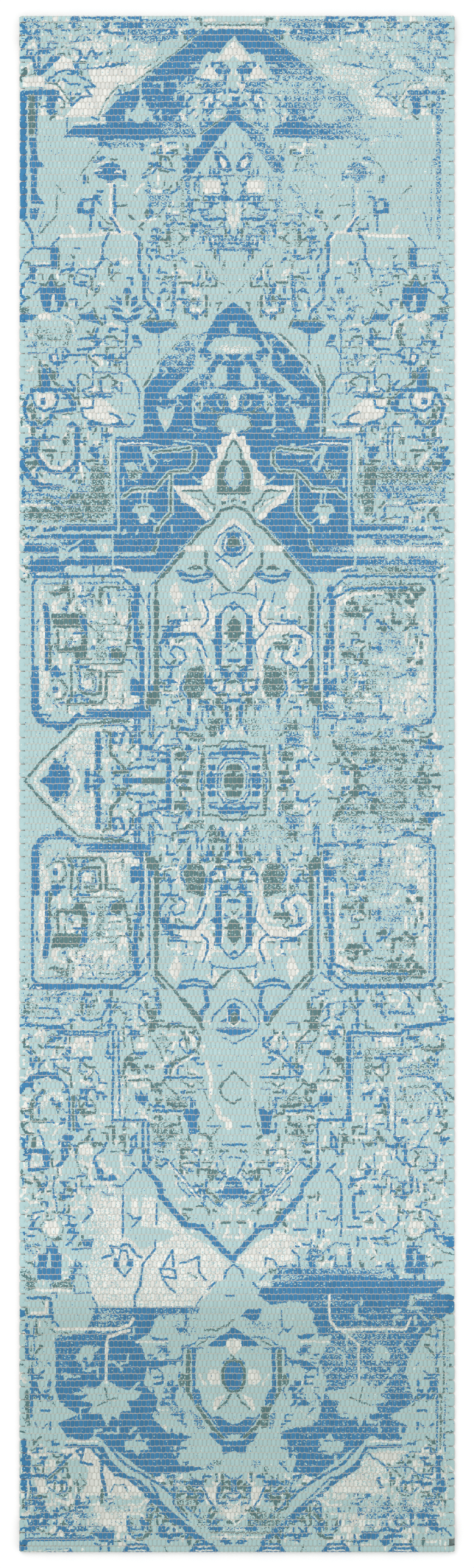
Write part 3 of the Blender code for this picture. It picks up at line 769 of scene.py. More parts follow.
def draw_palm_star(p, left, right):
    """The white and teal palm star at the dome's heart, and the arch that springs from it."""
    p.fill(WHITE, 1, (0.5, 65), (1.2, 66.3), (2.4, 66.4), (2.5, 67.6), (3.2, 67.8), (3, 69.8), (4.2, 70.3),
           (4.2, 71.6), (5.6, 72.8), (5.2, 74.1), (10.2, 74.1), (8.8, 76.4), (6.6, 77.8), (4.9, 79.8),
           (3.4, 80.6), (0.5, 79))
    p.fill(AQUA, 1, (0.5, 66.6), (1.8, 68.2), (2.2, 69.8), (3.4, 70.8), (3.6, 74.4), (5.4, 75), (8.6, 75),
           (6.4, 77), (4.6, 78.6), (3.8, 80), (0.5, 80))
    p.line(TEAL, 0.35, 0.9, (0.5, 67), (1.6, 68.6), (1.7, 69.8), (2.4, 70.6))
    p.fill(TEAL, 0.85, (0.5, 70), (2.4, 70.4), (3.2, 72), (3.2, 75.6), (0.5, 75.6))
    p.fill(AQUA, 1, (0.5, 70), (1.8, 71.2), (1.8, 73), (0.5, 74.8))
    p.line(BLUE, 0.3, 0.8, (1.6, 71.4), (2, 73), (1, 74.4))
    p.line(TEAL, 0.35, 0.9, (8.6, 75), (5.6, 74.9), (4.4, 76.8), (3.6, 77.2), (3.6, 80))
    p.line(WHITE, 0.3, 1, (8.4, 75.4), (5, 77.2), (3.9, 78.2))
    p.line(TEAL, 0.25, 0.8, (7, 76), (5.4, 76.4), (4.6, 77.6))
    for bar in (-0.5, -2.1):
        p.line(TEAL, 0.75, 0.9, (-bar, 76.4), (-bar, 79))
    p.line(BLUE, 0.2, 1, (1.3, 75.8), (1.3, 78))
    p.fill(WHITE, 0.9, (1.4, 75.4), (2.6, 76.4), (1.6, 76.6))
    # the arch's double line
    arch = ((0.5, 77.4), (2.4, 78), (4, 80.2), (5.3, 80.9), (8.4, 84.6), (12.8, 89.6), (12.8, 93))
    p.fill(AQUA, 1, *arch, (0.5, 93))
    p.line(AQUA, 1.5, 1, *arch)
    p.line(TEAL, 0.55, 0.95, *arch)
    p.line(BLUE, 0.2, 1, (3.8, 79.2), (5.6, 80.4), (9.2, 84.8), (13.6, 90))
    # the rosette and fans under the arch
    p.line(WHITE, 0.7, 1, (0.5, 79.6), (2.6, 81.6), (3.4, 83.6), (2.6, 85.8), (0.5, 88.2))
    p.line(BLUE, 0.35, 0.8, (0.5, 80.4), (2.8, 82), (3.6, 83.4))
    p.fill(BLUE, 0.85, (0.5, 81.2), (1.6, 81.6), (2.6, 83.6), (1.8, 85.2), (0.5, 85.4))
    p.fill(TEAL, 1, (0.5, 82), (1.4, 82.6), (1.5, 83.6), (0.5, 84))
    p.line(WHITE, 0.25, 1, (1.6, 82.2), (2, 84), (1.2, 84.8))
    p.line(BLUE, 0.35, 0.9, (3.4, 84.8), (1.4, 86.4), (0.5, 87.2))
    p.line(TEAL, 0.5, 0.9, (4.9, 84.6), (4.9, 86.6), (2.2, 90), (1, 91))
    p.line(TEAL, 0.4, 0.8, (6.6, 83.6), (4.9, 84.4))
    p.fill(WHITE, 0.8, (8.6, 83.8), (5.4, 83.4), (5, 84.4), (8, 84.6))
    p.fill(TEAL, 0.95, (6.6, 86.4), (8, 87.4), (5.2, 87.4))
    p.fill(BLUE, 1, (9.8, 87.6), (8.6, 87.4), (7.8, 88.2), (5.4, 88.2), (4.8, 87.4), (3.4, 87.8), (4.6, 89),
           (6.6, 89.6), (8.6, 89.2))
    p.line(AQUA, 0.3, 1, (8.6, 88.6), (6.6, 88.8), (4.6, 88.4))
    left.line(BLUE, 0.3, 1, (3.2, 86), (0.9, 84.2))
    p.fill(WHITE, 0.85, (9.6, 89), (10.8, 90.6), (9.6, 93.4), (8.6, 91.4))
    p.fill(WHITE, 0.8, (3.6, 88.6), (5, 90), (3.6, 91), (2.6, 89.8))
    p.fill(WHITE, 0.5, (1.6, 88.4), (0.5, 86.8), (0.5, 91))


def draw_shoulder_bands(p, left, right):
    """The blue bands that run out to both selvedges above the panels."""
    p.fill(BLUE, 1, (19.2, 80.2), (27, 80.2), (27.6, 81.2), (19.2, 81.3))
    p.line(AQUA, 0.4, 1, (33, 81.6), (19.4, 81.5))
    p.fill(BLUE, 1, (12, 81.8), (28, 81.8), (31.6, 82), (33.4, 83.2), (33.6, 84.8), (14, 84.8))
    p.fill(BLUE, 1, (30.4, 85.2), (19, 85.2), (13.4, 85.4), (13.2, 87.8), (16.8, 87.6), (18.6, 86.8),
           (26.6, 86.8), (28.4, 87.8), (32.6, 87.9), (31.8, 86))
    p.line(AQUA, 0.45, 1, (33.4, 85), (13, 85))
    p.line(AQUA, 0.35, 1, (32.6, 82.9), (28.4, 82.9), (26.8, 84.2), (24.6, 82.8))
    p.fill(AQUA, 1, (28, 83.8), (26.4, 84.8), (24.8, 83.8), (24.8, 86.2), (26.4, 85.2), (28, 86.4))
    p.fill(AQUA, 1, (22.6, 82.6), (20, 82.4), (19.6, 84), (20.6, 85.2), (22, 84.4))
    p.fill(WHITE, 0.8, (21.6, 83), (20.2, 83.6), (20.6, 84.8))
    p.line(AQUA, 0.3, 1, (19.6, 81.6), (19.6, 87))
    p.line(WHITE, 0.3, 1, (16.8, 87.4), (19, 86.9))
    p.wear(0.4, -26, 84, 9, 3)
    p.wear(0.45, 29, 83.2, 4, 1)
    p.dust(WHITE, 0.75, -25, 84.2, 10, 0.5)
    p.dust(TEAL, 0.6, -25, 87.6, 6, 0.9)
    p.line(TEAL, 0.4, 0.7, (34.2, 88.8), (33.2, 89.4))
    p.line(WHITE, 0.4, 1, (34.2, 87), (33, 87.8))


def draw_panel_frames(p, left, right):
    """The long side panels: their cut-cornered frames and inner borders, down to the runner's middle."""
    p.dust(WHITE, 0.32, 23, 95, 6, 6)
    p.dust(WHITE, 0.3, -22, 108, 7, 6)
    p.dust(WHITE, 0.45, 19.5, 107, 3, 4)
    p.dust(WHITE, 0.5, 24, 116, 4, 3)
    p.line(BLUE, 0.45, 1, (14, 93.4), (16, 90.4), (18.4, 88.4), (31.4, 88.5), (32.2, 89.6), (32.2, 110),
           (31, 111.6), (29.8, 112), (26.4, 111.9), (25.2, 110.6), (14.2, 110.4))
    p.line(BLUE, 0.3, 0.7, (15.2, 93), (17.4, 90.6), (18.8, 89.4), (31, 89.6))
    left.line(BLUE, 0.9, 1, (31.6, 103), (31.6, 110), (30.4, 111.8), (26.4, 111.8), (25, 110.4))
    left.line(BLUE, 0.8, 1, (23.4, 109.8), (14.2, 109.8))
    right.line(BLUE, 0.5, 0.55, (23.4, 109.8), (14.2, 109.8))
    p.line(BLUE, 0.4, 0.9, (25.2, 110.8), (14.6, 110.8))
    p.fill(BLUE, 1, (29, 112.2), (27, 112.2), (28, 113.4))
    p.line(WHITE, 0.9, 0.55, (30.9, 90.4), (30.7, 96), (30.7, 108.6))
    p.block(WHITE, 0.95, (31.2, 96.6), (30.2, 100.8))
    left.line(BLUE, 0.9, 1, (30.2, 93), (29.8, 96.4), (29.8, 103.4))
    p.line(TEAL, 0.5, 0.8, (29.6, 99), (29.4, 103.6))
    p.line(BLUE, 0.8, 1, (15.6, 90), (15.9, 92), (15.9, 97.4), (15, 100.4), (15, 109.4))
    p.line(BLUE, 0.35, 1, (13.8, 91), (13.8, 113.4))
    p.line(TEAL, 0.85, 0.85, (12.7, 92.5), (12.7, 107.6), (13.8, 108.2), (14.6, 107.4))
    p.line(TEAL, 0.4, 0.75, (16.9, 92), (17, 97), (17.6, 101), (18.2, 102.2))
    p.line(BLUE, 0.35, 1, (16.5, 92.4), (16.5, 94.8), (17.4, 96.6))
    p.fill(BLUE, 1, (16.8, 104.4), (16.2, 104.4), (14.4, 106), (14.2, 108.2), (15.6, 107.2), (16.8, 107.2))
    p.fill(TEAL, 0.85, (14.8, 106.8), (12.3, 106.4), (12.4, 108), (13.6, 108.9), (14.8, 108))
    p.line(BLUE, 0.35, 0.9, (13.2, 110.6), (13.2, 113.2), (13.8, 114))
    p.line(WHITE, 0.3, 0.7, (14.4, 92), (14.4, 108))


def draw_fretwork(p, left, right):
    """The square mosaics and nested blocks inside the side panels."""
    p.fill(TEAL, 0.8, (29.4, 94.3), (24.2, 94.3), (23.5, 95.2), (23.5, 99.8), (24, 101.6), (25.4, 101.6),
           (25.8, 100.6), (28.4, 100.6), (28.4, 99.9), (24.6, 99.4), (24.6, 96.6), (28.2, 96.6),
           (29.2, 95.6))
    p.fill(BLUE, 0.85, (25, 94.4), (23.6, 95.2), (23.6, 98), (24.4, 96.6))
    p.line(TEAL, 0.5, 0.9, (28.2, 97), (28.2, 100))
    p.line(BLUE, 0.35, 1, (25.8, 97.4), (23.8, 97.4))
    p.line(BLUE, 0.3, 0.9, (23, 99.6), (20.2, 99.7), (18.4, 99.6))
    for row in (95.8, 97, 98.2, 100.7):
        p.line(TEAL, 0.4, 0.55, (22.4, row), (18.2, row + 0.3))
    p.fill(TEAL, 0.5, (22.2, 96), (21, 96), (20.8, 101.8), (22.2, 101.8))
    p.fill(TEAL, 0.8, (20, 100), (18.8, 99.6), (17.8, 100.4), (18.4, 101.8), (20, 101.6))
    p.line(BLUE, 0.4, 0.7, (20.2, 99.8), (20, 101.4), (18.8, 101.8))
    p.line(TEAL, 0.35, 0.8, (26, 102.4), (20, 102.3), (18.2, 102.4))
    p.line(BLUE, 0.4, 1, (25.2, 102.7), (23.4, 102.7))
    p.line(TEAL, 0.5, 0.85, (26.1, 102.6), (26, 107.4), (26.8, 108.6), (21.6, 108.6), (20.6, 107.4),
           (20.6, 103.6), (18, 103.4))
    p.line(TEAL, 0.5, 0.8, (25, 103), (25, 106), (24.2, 106.9), (21.6, 107.1), (21.5, 103.4), (23.6, 103.2))
    p.fill(TEAL, 0.6, (24.2, 103.6), (22.3, 103.6), (22.2, 106), (24, 106.2))
    p.line(BLUE, 0.4, 0.8, (24.8, 103.4), (24.8, 106), (22.4, 106.6), (22.2, 104.4), (23.6, 104.6))
    p.fill(WHITE, 0.8, (24.2, 105), (23, 104.6), (22.9, 106), (24, 106.3))
    p.line(TEAL, 0.5, 0.7, (29.2, 104.8), (27.6, 104.7), (26.8, 106), (27.4, 107.8), (28.8, 108), (30, 107))
    p.line(BLUE, 0.35, 0.9, (29.4, 103.4), (28.6, 102.6), (27.8, 103.4), (28.4, 104.4), closed=True)
    p.block(BLUE, 0.9, (29, 105.8), (28.2, 106.8))
    p.line(BLUE, 0.3, 0.8, (28.2, 109.2), (29.4, 107.6))
    p.fill(WHITE, 0.7, (30.4, 103.2), (29.4, 103.6), (29.6, 106), (30.4, 107))
    p.fill(TEAL, 0.8, (29.8, 91), (26.6, 89.8), (26.4, 91), (28.8, 91.6))
    p.line(TEAL, 0.45, 0.85, (26.8, 89.2), (26.4, 92.6))
    p.line(TEAL, 0.5, 0.75, (21.6, 90.2), (21.4, 93), (23.4, 90.6))
    p.line(BLUE, 0.35, 1, (25, 91.6), (23.2, 91.5), (22.6, 90))
    p.line(BLUE, 0.45, 0.8, (20.4, 91), (20.2, 92.6))
    p.line(TEAL, 0.4, 0.8, (20.8, 90.2), (18.8, 90.2))
    p.fill(WHITE, 1, (25.4, 88.9), (24.4, 90.6), (25, 91.4), (26, 90))
    p.wear(0.5, -22, 100, 7, 7)
    p.wear(0.45, -22, 93, 6, 4)
    p.wear(0.4, -22, 109, 6, 3)
    p.dust(TEAL, 0.4, -19, 106, 4, 4)
    p.dust(TEAL, 0.5, -18.6, 94, 3.4, 1.2)
    p.dust(BLUE, 0.35, -24, 100, 5, 4)
    p.dust(WHITE, 0.5, -23.6, 101.4, 2.4, 0.8)
    p.dust(TEAL, 0.6, -24, 90.4, 5, 1.4)


def draw_right_panel(p, left, right):
    """The right-hand panel's own fretwork, over its wear."""
    right.scatter(WHITE, 60, (31, 90, 15, 112), cover=0.85)
    right.scatter(TEAL, 32, (31, 90, 17, 104), cover=0.85, width=0.5)
    right.scatter(BLUE, 34, (31, 92, 15, 113), cover=0.85)
    right.line(BLUE, 0.4, 1, (16, 103), (16, 92), (19, 90.4), (28, 90.2))
    right.line(WHITE, 0.5, 1, (16.8, 102), (16.8, 93), (19.6, 91.2), (24, 91))


def draw_pendants(p, left, right):
    """The arrowheads that point at the selvedges half way along, with their crowns."""
    left.line(TEAL, 0.45, 0.95, (17.2, 111.2), (25, 111.9), (29.4, 116.2), (33.4, 120.6))
    left.line(WHITE, 0.8, 0.65, (17, 112.6), (24.6, 112.8), (28.6, 116.8), (31.8, 120.3))
    left.line(TEAL, 0.4, 0.7, (17, 111.4), (20.4, 110.8), (21.4, 111.2))
    left.fill(BLUE, 1, (28.6, 117.1), (29.7, 118.9), (29.7, 119.6), (31.2, 120.7), (26.5, 120.7),
              (26.5, 119), (27.8, 118))
    left.line(TEAL, 0.3, 0.7, (29, 117.3), (28.2, 117.3), (27.2, 118.6))
    left.line(WHITE, 0.6, 0.8, (26.3, 117.6), (24.8, 120.7))
    left.fill(BLUE, 1, (22.3, 112.9), (21.5, 112.9), (21.5, 118.6), (21.9, 119), (22.3, 118.4))
    left.block(BLUE, 1, (24, 118.8), (23.2, 120.7))
    left.line(BLUE, 0.4, 1, (22, 118.8), (22.6, 119.2), (21, 120.7))
    left.line(TEAL, 0.6, 0.8, (21, 112.8), (20, 113.2), (19.8, 116.4), (18.6, 117.8), (17.4, 119.2))
    left.line(BLUE, 0.5, 1, (19.4, 113), (19.6, 114.6), (18.4, 115), (17.8, 113))
    left.line(BLUE, 0.4, 1, (20.8, 111.9), (18, 111.8), (16.8, 113.2), (16.8, 114.8))
    left.line(BLUE, 0.35, 1, (16, 110.9), (16, 114.6))
    left.line(BLUE, 0.45, 0.9, (15.4, 111), (15.3, 115), (13.4, 115.6))
    left.fill(TEAL, 0.85, (19.6, 119), (17.4, 119), (17, 119.6), (19.6, 119.7))
    left.fill(BLUE, 1, (18, 120.3), (15, 120.2), (15, 120.7), (18, 120.7))
    left.block(TEAL, 0.9, (15, 120.1), (10.9, 120.7))
    left.line(BLUE, 0.6, 1, (14.8, 115.4), (13.2, 116), (11.4, 116.3))
    left.line(BLUE, 0.5, 0.8, (13.4, 115.2), (11.8, 113))
    left.line(BLUE, 0.4, 0.6, (15, 117), (11, 117.2))
    left.fill(WHITE, 1, (12.4, 117.6), (11.8, 119.4), (12.6, 118.8))
    # the right-hand arrowhead is nearly worn away
    p.dust(TEAL, 0.55, -24.6, 117.4, 3.6, 4.4)
    p.dust(TEAL, 0.5, -24.6, 121.6, 3, 1.6)
    p.dust(BLUE, 0.4, -22.6, 119.4, 2.4, 1.6)
    p.dust(BLUE, 0.35, -28.4, 116.8, 2.6, 2.4)
    p.dust(BLUE, 0.45, -18.6, 113.6, 3, 2)
    p.dust(TEAL, 0.5, -17.4, 115.6, 2.6, 2.4)
    p.dust(WHITE, 0.4, -15, 120.4, 3.4, 1)
    p.dust(WHITE, 0.35, -26.4, 107.4, 4, 3)


def draw_scrolls(p, left, right):
    """The curled leaves and the lancet between the arch's foot and the rosette."""
    p.line(BLUE, 0.3, 0.9, (6.9, 90.8), (6.5, 92.4), (5, 93.4), (3.8, 91.4), (0.5, 91))
    p.line(BLUE, 0.3, 0.8, (4, 89.6), (4, 91.4))
    p.fill(WHITE, 0.85, (6.4, 92.4), (4.2, 92.2), (3.4, 95), (4.4, 97.2), (8.6, 97), (9, 95.8), (5.4, 95.2))
    p.line(BLUE, 0.35, 1, (10.6, 95.5), (8, 95.4), (8, 94.4))
    p.line(BLUE, 0.35, 1, (5.4, 92), (4.6, 94), (4.6, 95.4), (5.8, 96.6))
    p.fill(WHITE, 0.95, (9.2, 96), (6, 96), (5.2, 97.2), (4.4, 98.2), (5.8, 97.9), (9, 97.4))
    left.line(BLUE, 0.6, 1, (11.8, 98.8), (10.9, 97.6), (6.6, 97.5), (5.6, 99), (5, 101))
    p.line(BLUE, 0.35, 1, (12.2, 99.4), (12, 101), (10.8, 102.4), (9.2, 102.6), (8, 101.4), (8.4, 100),
           (9.8, 99.4), (10.6, 100.6), (9.8, 101.2))
    p.line(BLUE, 0.3, 1, (12.2, 99.2), (11.6, 97.6), (10.6, 96.6), (8.8, 96.2))
    p.line(BLUE, 0.35, 1, (6.2, 99.8), (5.2, 102.8), (4.8, 105.6))
    p.line(WHITE, 0.35, 0.9, (5.8, 99.2), (4.8, 102), (4.6, 104))
    right.line(WHITE, 0.8, 1, (4.8, 102), (4.4, 99), (6.6, 96.6), (9.8, 96.4), (12.3, 98), (12.4, 100.8),
               (10.6, 102.4), (9.2, 101), (9.8, 99.8))
    right.line(BLUE, 0.25, 1, (4.2, 101.6), (3.9, 98.8), (6.2, 96), (10, 95.9), (12.9, 97.8), (12.9, 101),
               (10.8, 103), (9, 102))
    right.fill(TEAL, 0.8, (6.6, 98.8), (9.4, 98.8), (9.2, 100.1), (6.8, 100))
    p.dust(WHITE, 0.7, -4.6, 104.8, 1.4, 3)
    p.dust(TEAL, 0.6, -8.2, 103.6, 2, 1)
    # the lancet
    p.fill(BLUE, 1, (3.5, 94.6), (2.4, 94.6), (2.4, 102.6), (3.4, 102.6), (3.4, 99.4), (4.2, 98.6),
           (3.4, 98))
    p.line(BLUE, 0.35, 1, (0.5, 92.6), (1.6, 93.2), (2.8, 94.8))
    p.line(BLUE, 0.35, 1, (2.6, 102.4), (1.6, 104.2), (0.5, 103.4))
    p.fill(BLUE, 1, (2.6, 103), (1.5, 103), (0.9, 104.4), (1.6, 105.2))
    p.fill(TEAL, 0.9, (0.5, 94.4), (1.6, 96), (1.4, 98.2), (0.5, 98.6))
    p.line(TEAL, 0.3, 0.8, (1.2, 100.4), (0.5, 99.6))
    p.fill(BLUE, 0.9, (0.5, 101.4), (1.7, 101.4), (1.4, 102), (0.5, 102.1))
    p.line(TEAL, 0.35, 0.9, (2.2, 102.6), (1.4, 102.8), (1, 102.4))
    p.line(BLUE, 0.4, 1, (4, 104.6), (4.2, 106), (3.4, 106.8), (2, 106.6), (1.9, 105.2))
    p.fill(WHITE, 0.7, (4, 102.6), (3.4, 103.4), (3.6, 105), (4.2, 104))
    # leaves and brickwork below
    p.fill(TEAL, 0.72, (8.2, 104.6), (7.8, 103), (5.2, 102.2), (5.2, 104.6), (4.8, 105.8), (5.6, 107.4),
           (7.4, 107.8), (8.6, 106.2))
    p.line(WHITE, 0.3, 0.8, (9, 102.6), (9, 105.2), (9.4, 107), (8.6, 108.6))
    p.line(BLUE, 0.35, 0.9, (8.4, 104.8), (8.9, 106), (8, 107.6))
    p.fill(BLUE, 1, (7.9, 107.6), (7.2, 107.6), (7.2, 110.8), (7.9, 110.2))
    p.line(TEAL, 0.35, 0.8, (6.8, 106.6), (6.4, 107.8))
    p.line(BLUE, 0.25, 1, (6, 109), (3.4, 109))
    p.line(BLUE, 0.3, 1, (2.4, 108.4), (0.5, 108.1))
    p.line(BLUE, 0.3, 0.9, (1.4, 109), (1.4, 111.4), (0.9, 112.4))
    p.line(WHITE, 0.6, 0.7, (0.5, 109), (0.5, 112))
    p.fill(TEAL, 0.8, (3.4, 107.6), (2.4, 107.4), (2.6, 109.2), (3.4, 109))
    p.fill(TEAL, 0.65, (4.6, 110.8), (1.8, 110.8), (1.8, 111.8), (3, 112), (3.2, 113.8), (4.4, 113.8))
    p.line(BLUE, 0.35, 0.8, (5.4, 109.6), (5.6, 111), (5, 111.8))
    p.line(BLUE, 0.4, 0.8, (6.3, 110), (6.4, 112.6))
    p.fill(BLUE, 0.9, (9.4, 110.6), (8, 110.6), (7.6, 111.6), (9.4, 111.6))
    p.fill(BLUE, 0.85, (9.2, 112.2), (7.6, 112.2), (7.8, 112.9), (9.2, 112.9))
    p.fill(TEAL, 0.6, (7.8, 113), (5.2, 113.2), (5, 114.6), (7.4, 114.6))
    p.block(BLUE, 0.8, (2.6, 111.6), (1.9, 112.8))
    p.line(TEAL, 0.3, 0.8, (9.6, 109.2), (7.6, 111.8))
    p.line(BLUE, 0.45, 0.8, (9.4, 113.6), (8.8, 115), (11.6, 115.2))
    p.fill(BLUE, 0.8, (8.2, 114.8), (7.4, 114.8), (6.8, 116.2), (8, 116.4))
    p.fill(TEAL, 0.75, (9.9, 116.2), (8, 116), (8, 117.6), (10, 117.6))
    left.block(BLUE, 0.9, (11.2, 115.6), (10.4, 120.7))
    p.block(TEAL, 0.9, (9.2, 119), (7, 119.8))
    p.block(TEAL, 0.85, (9.6, 120.3), (7.6, 121.2))
    p.wear(0.5, -5, 112, 3.4, 3.4)
    p.dust(TEAL, 0.5, -8.6, 112.6, 1.6, 2)
    p.dust(BLUE, 0.6, -9, 114, 1.6, 1)


def draw_rosette(p, left, right):
    """The rosette in the runner's middle, down to its centre line."""
    p.line(TEAL, 0.35, 0.9, (0.5, 114.5), (2.4, 114.5), (3, 115.2), (5.4, 115.3), (5.6, 118.6),
           (6.2, 119.4), (6.2, 120.7))
    p.fill(BLUE, 1, (0.5, 115.5), (2.7, 115.5), (2.9, 116.1), (4.2, 116.3), (4.2, 116.7), (0.5, 116.5))
    p.block(BLUE, 1, (4.7, 116.9), (2.9, 117.3))
    for row in (118.2, 119.5):
        p.fill(BLUE, 1, (4.6, row), (3.4, row), (3.4, row + 0.9), (4.6, row + 0.9))
    p.line(BLUE, 0.3, 1, (0.5, 117), (2, 117.2), (3, 118.6), (3, 120.7))
    p.line(BLUE, 0.25, 0.8, (0.5, 117.5), (1.7, 117.7), (2.5, 118.9), (2.5, 120.7))
    p.fill(TEAL, 0.92, (0.5, 118), (1.6, 118.2), (2, 119.6), (2, 120.7), (0.5, 120.7))
    p.block(BLUE, 1, (4.8, 120.3), (3.4, 120.7))
    p.line(TEAL, 0.3, 0.8, (5.2, 116.4), (5.2, 120.7))
    right.line(WHITE, 0.35, 0.8, (7.2, 115.6), (7.2, 119.8))
    p.line(BLUE, 0.35, 0.25, (3, 119.4), (1, 119.4))


def draw_mirror(p, left, right):
    """The far half's panels, scrolls and rosette repeated, turned over, past the runner's middle."""
    p.turn_over(120.7, 33)
    p.wear(0.35, 28, 131, 5, 2)
    p.dust(WHITE, 0.35, 22, 149.6, 6, 2)
    p.line(BLUE, 0.35, 1, (31.5, 152.4), (30.6, 153.3), (17.2, 153.4), (14.2, 151))
    p.dust(BLUE, 0.35, -21.6, 134.6, 3, 2)
    right.line(BLUE, 0.5, 0.6, (31.6, 127.8), (31.4, 131), (31.4, 151))
    p.line(TEAL, 0.4, 0.9, (12.6, 150.6), (9.6, 154))


def draw_lower_crown(p, left, right):
    """The winged crown and curves below the panels."""
    p.line(TEAL, 0.5, 0.8, (12.4, 151), (10, 153.6), (7.2, 157.2), (5.8, 159.2))
    p.line(BLUE, 0.7, 0.9, (5, 153.6), (4.6, 156), (5.6, 157.2), (5.6, 158.4))
    left.line(TEAL, 0.6, 0.9, (8.4, 155.2), (6, 158), (5.4, 159.8))
    right.line(TEAL, 0.5, 0.9, (8.8, 155.4), (6.6, 157.4), (6.2, 159))
    right.line(BLUE, 0.4, 0.8, (9.6, 154.6), (6.4, 157), (5.8, 158.8))
    p.line(BLUE, 0.3, 0.9, (0.5, 155), (1.8, 155.6), (3.6, 157.8), (4, 158.8))
    right.line(BLUE, 0.25, 1, (3.2, 155.2), (4.4, 156.8), (4.4, 159.6), (3, 161))
    p.fill(BLUE, 1, (0.5, 155.6), (1.5, 156.4), (1.7, 158), (3, 158.8), (0.5, 158.8))
    p.fill(TEAL, 1, (0.5, 157), (1.1, 157.4), (1.1, 159), (0.5, 159.3))
    p.line(WHITE, 0.25, 1, (1.5, 157), (1.5, 158.6), (0.5, 159.5))
    p.fill(BLUE, 0.9, (3.4, 159.6), (0.5, 159.6), (0.5, 161), (1.8, 160.6), (3.2, 160.2))
    p.line(BLUE, 0.3, 0.8, (2.2, 161.2), (1, 162), (0.5, 162))
    right.line(BLUE, 0.25, 1, (0.5, 162.2), (1.6, 161.6), (2.9, 160.8))
    left.line(TEAL, 0.5, 0.75, (12.4, 159.5), (9, 159.4), (6.6, 159.7), (5.8, 161.4), (6.2, 162.8),
              (7.6, 164), (10, 165), (10.2, 166))
    left.line(TEAL, 0.35, 0.8, (8.8, 160.2), (8, 161.4), (7.9, 163))
    left.line(BLUE, 0.3, 1, (8.2, 163.6), (6.8, 163.5))
    p.line(WHITE, 0.35, 0.8, (6.8, 164), (10, 166), (10.2, 167))
    right.line(TEAL, 0.4, 0.85, (12.6, 156.4), (12.6, 160), (10.4, 162), (10.4, 167))
    right.line(BLUE, 0.45, 1, (5.2, 161.2), (5.2, 162.4), (6.4, 163.4), (7.4, 163.5), (11, 167.2))
    left.line(BLUE, 0.35, 1, (11.4, 167.5), (5.6, 167.5))
    right.line(BLUE, 0.35, 1, (10.8, 167.4), (4.6, 167.4))
    left.fill(TEAL, 0.35, (10.8, 160.8), (12.2, 160.4), (13, 161.4), (12, 163.2), (10.6, 162.6))
    left.line(TEAL, 0.35, 0.9, (0.5, 166.6), (2.9, 169.2), (2.4, 170.4), (1.3, 171.3), (0.5, 171.7),
              (-0.6, 170.8))
    p.line(TEAL, 0.35, 0.8, (0.5, 166.6), (2.4, 168.4), (2.8, 169))
    left.line(WHITE, 0.7, 0.8, (4.8, 165), (4, 168), (4.2, 170.6))
    right.line(WHITE, 0.45, 0.7, (3.2, 167), (3.4, 171))
    left.line(WHITE, 0.7, 0.9, (3.2, 172), (2.6, 173.8), (1.6, 174.2))
    left.fill(WHITE, 0.9, (1.8, 174), (0.9, 174), (0.8, 175.6), (1.6, 175.8))
    left.line(BLUE, 0.3, 1, (4.6, 175.2), (2.6, 175.2))
    right.line(BLUE, 0.3, 1, (3.2, 175.2), (1.6, 175.2))
    left.line(BLUE, 0.25, 1, (2.4, 165.6), (3, 165.6))
    p.fill(WHITE, 0.4, (17, 154), (14.6, 155.8), (14, 159), (16.4, 159))
    # splat flowers and the speckled skirts they stand on
    left.fill(BLUE, 1, (8.2, 172.2), (7.2, 173), (6.4, 172.2), (5.8, 173), (6.2, 174.4), (6.4, 176.4),
              (7.4, 176.6), (7.8, 174.8), (8.6, 173.4))
    right.fill(BLUE, 1, (4.4, 172.4), (5.2, 172), (5.8, 173), (6.8, 172.4), (6.4, 174.4), (6.2, 176.6),
               (5, 176.6), (4.8, 174.6))
    left.line(TEAL, 0.3, 0.7, (5.4, 168), (5.4, 169.4), (4.4, 171.6), (3.6, 173), (4.6, 174.4))
    right.line(TEAL, 0.3, 0.7, (3.9, 171), (3.9, 173.4), (4.6, 175.8))
    right.line(TEAL, 0.3, 0.7, (6.1, 170), (6.1, 172.6))
    p.line(TEAL, 0.4, 0.7, (8.8, 167.8), (7.4, 169.2), (6.4, 168.2), (5.4, 168.4))
    p.line(BLUE, 0.3, 0.9, (6.2, 169.3), (4.8, 169.3))
    p.line(WHITE, 0.3, 0.9, (9.8, 169.2), (8, 169.2))
    p.dust(TEAL, 0.5, 9.4, 171, 2, 1.2)
    p.dust(TEAL, 0.5, -9, 171, 2.4, 1.2)
    p.dust(TEAL, 0.42, 11.6, 176.4, 2.4, 3.6)
    p.dust(TEAL, 0.35, -9.6, 176.4, 2.4, 3.2)
    p.dust(TEAL, 0.4, 8.2, 178.6, 1.2, 2.8)
    p.dust(TEAL, 0.42, 3.8, 178.4, 1.2, 3)
    p.dust(TEAL, 0.35, -3.2, 178.4, 1, 3)
    p.dust(BLUE, 0.35, 12.6, 179.4, 1.6, 1.6)
    p.line(TEAL, 0.35, 0.7, (13.4, 175.4), (12, 177), (10.8, 175), (9.8, 176.2))
    p.line(BLUE, 0.35, 1, (13.2, 172.7), (8.8, 172.8))
    p.line(WHITE, 0.3, 0.8, (12.8, 173.2), (8.8, 173.3))


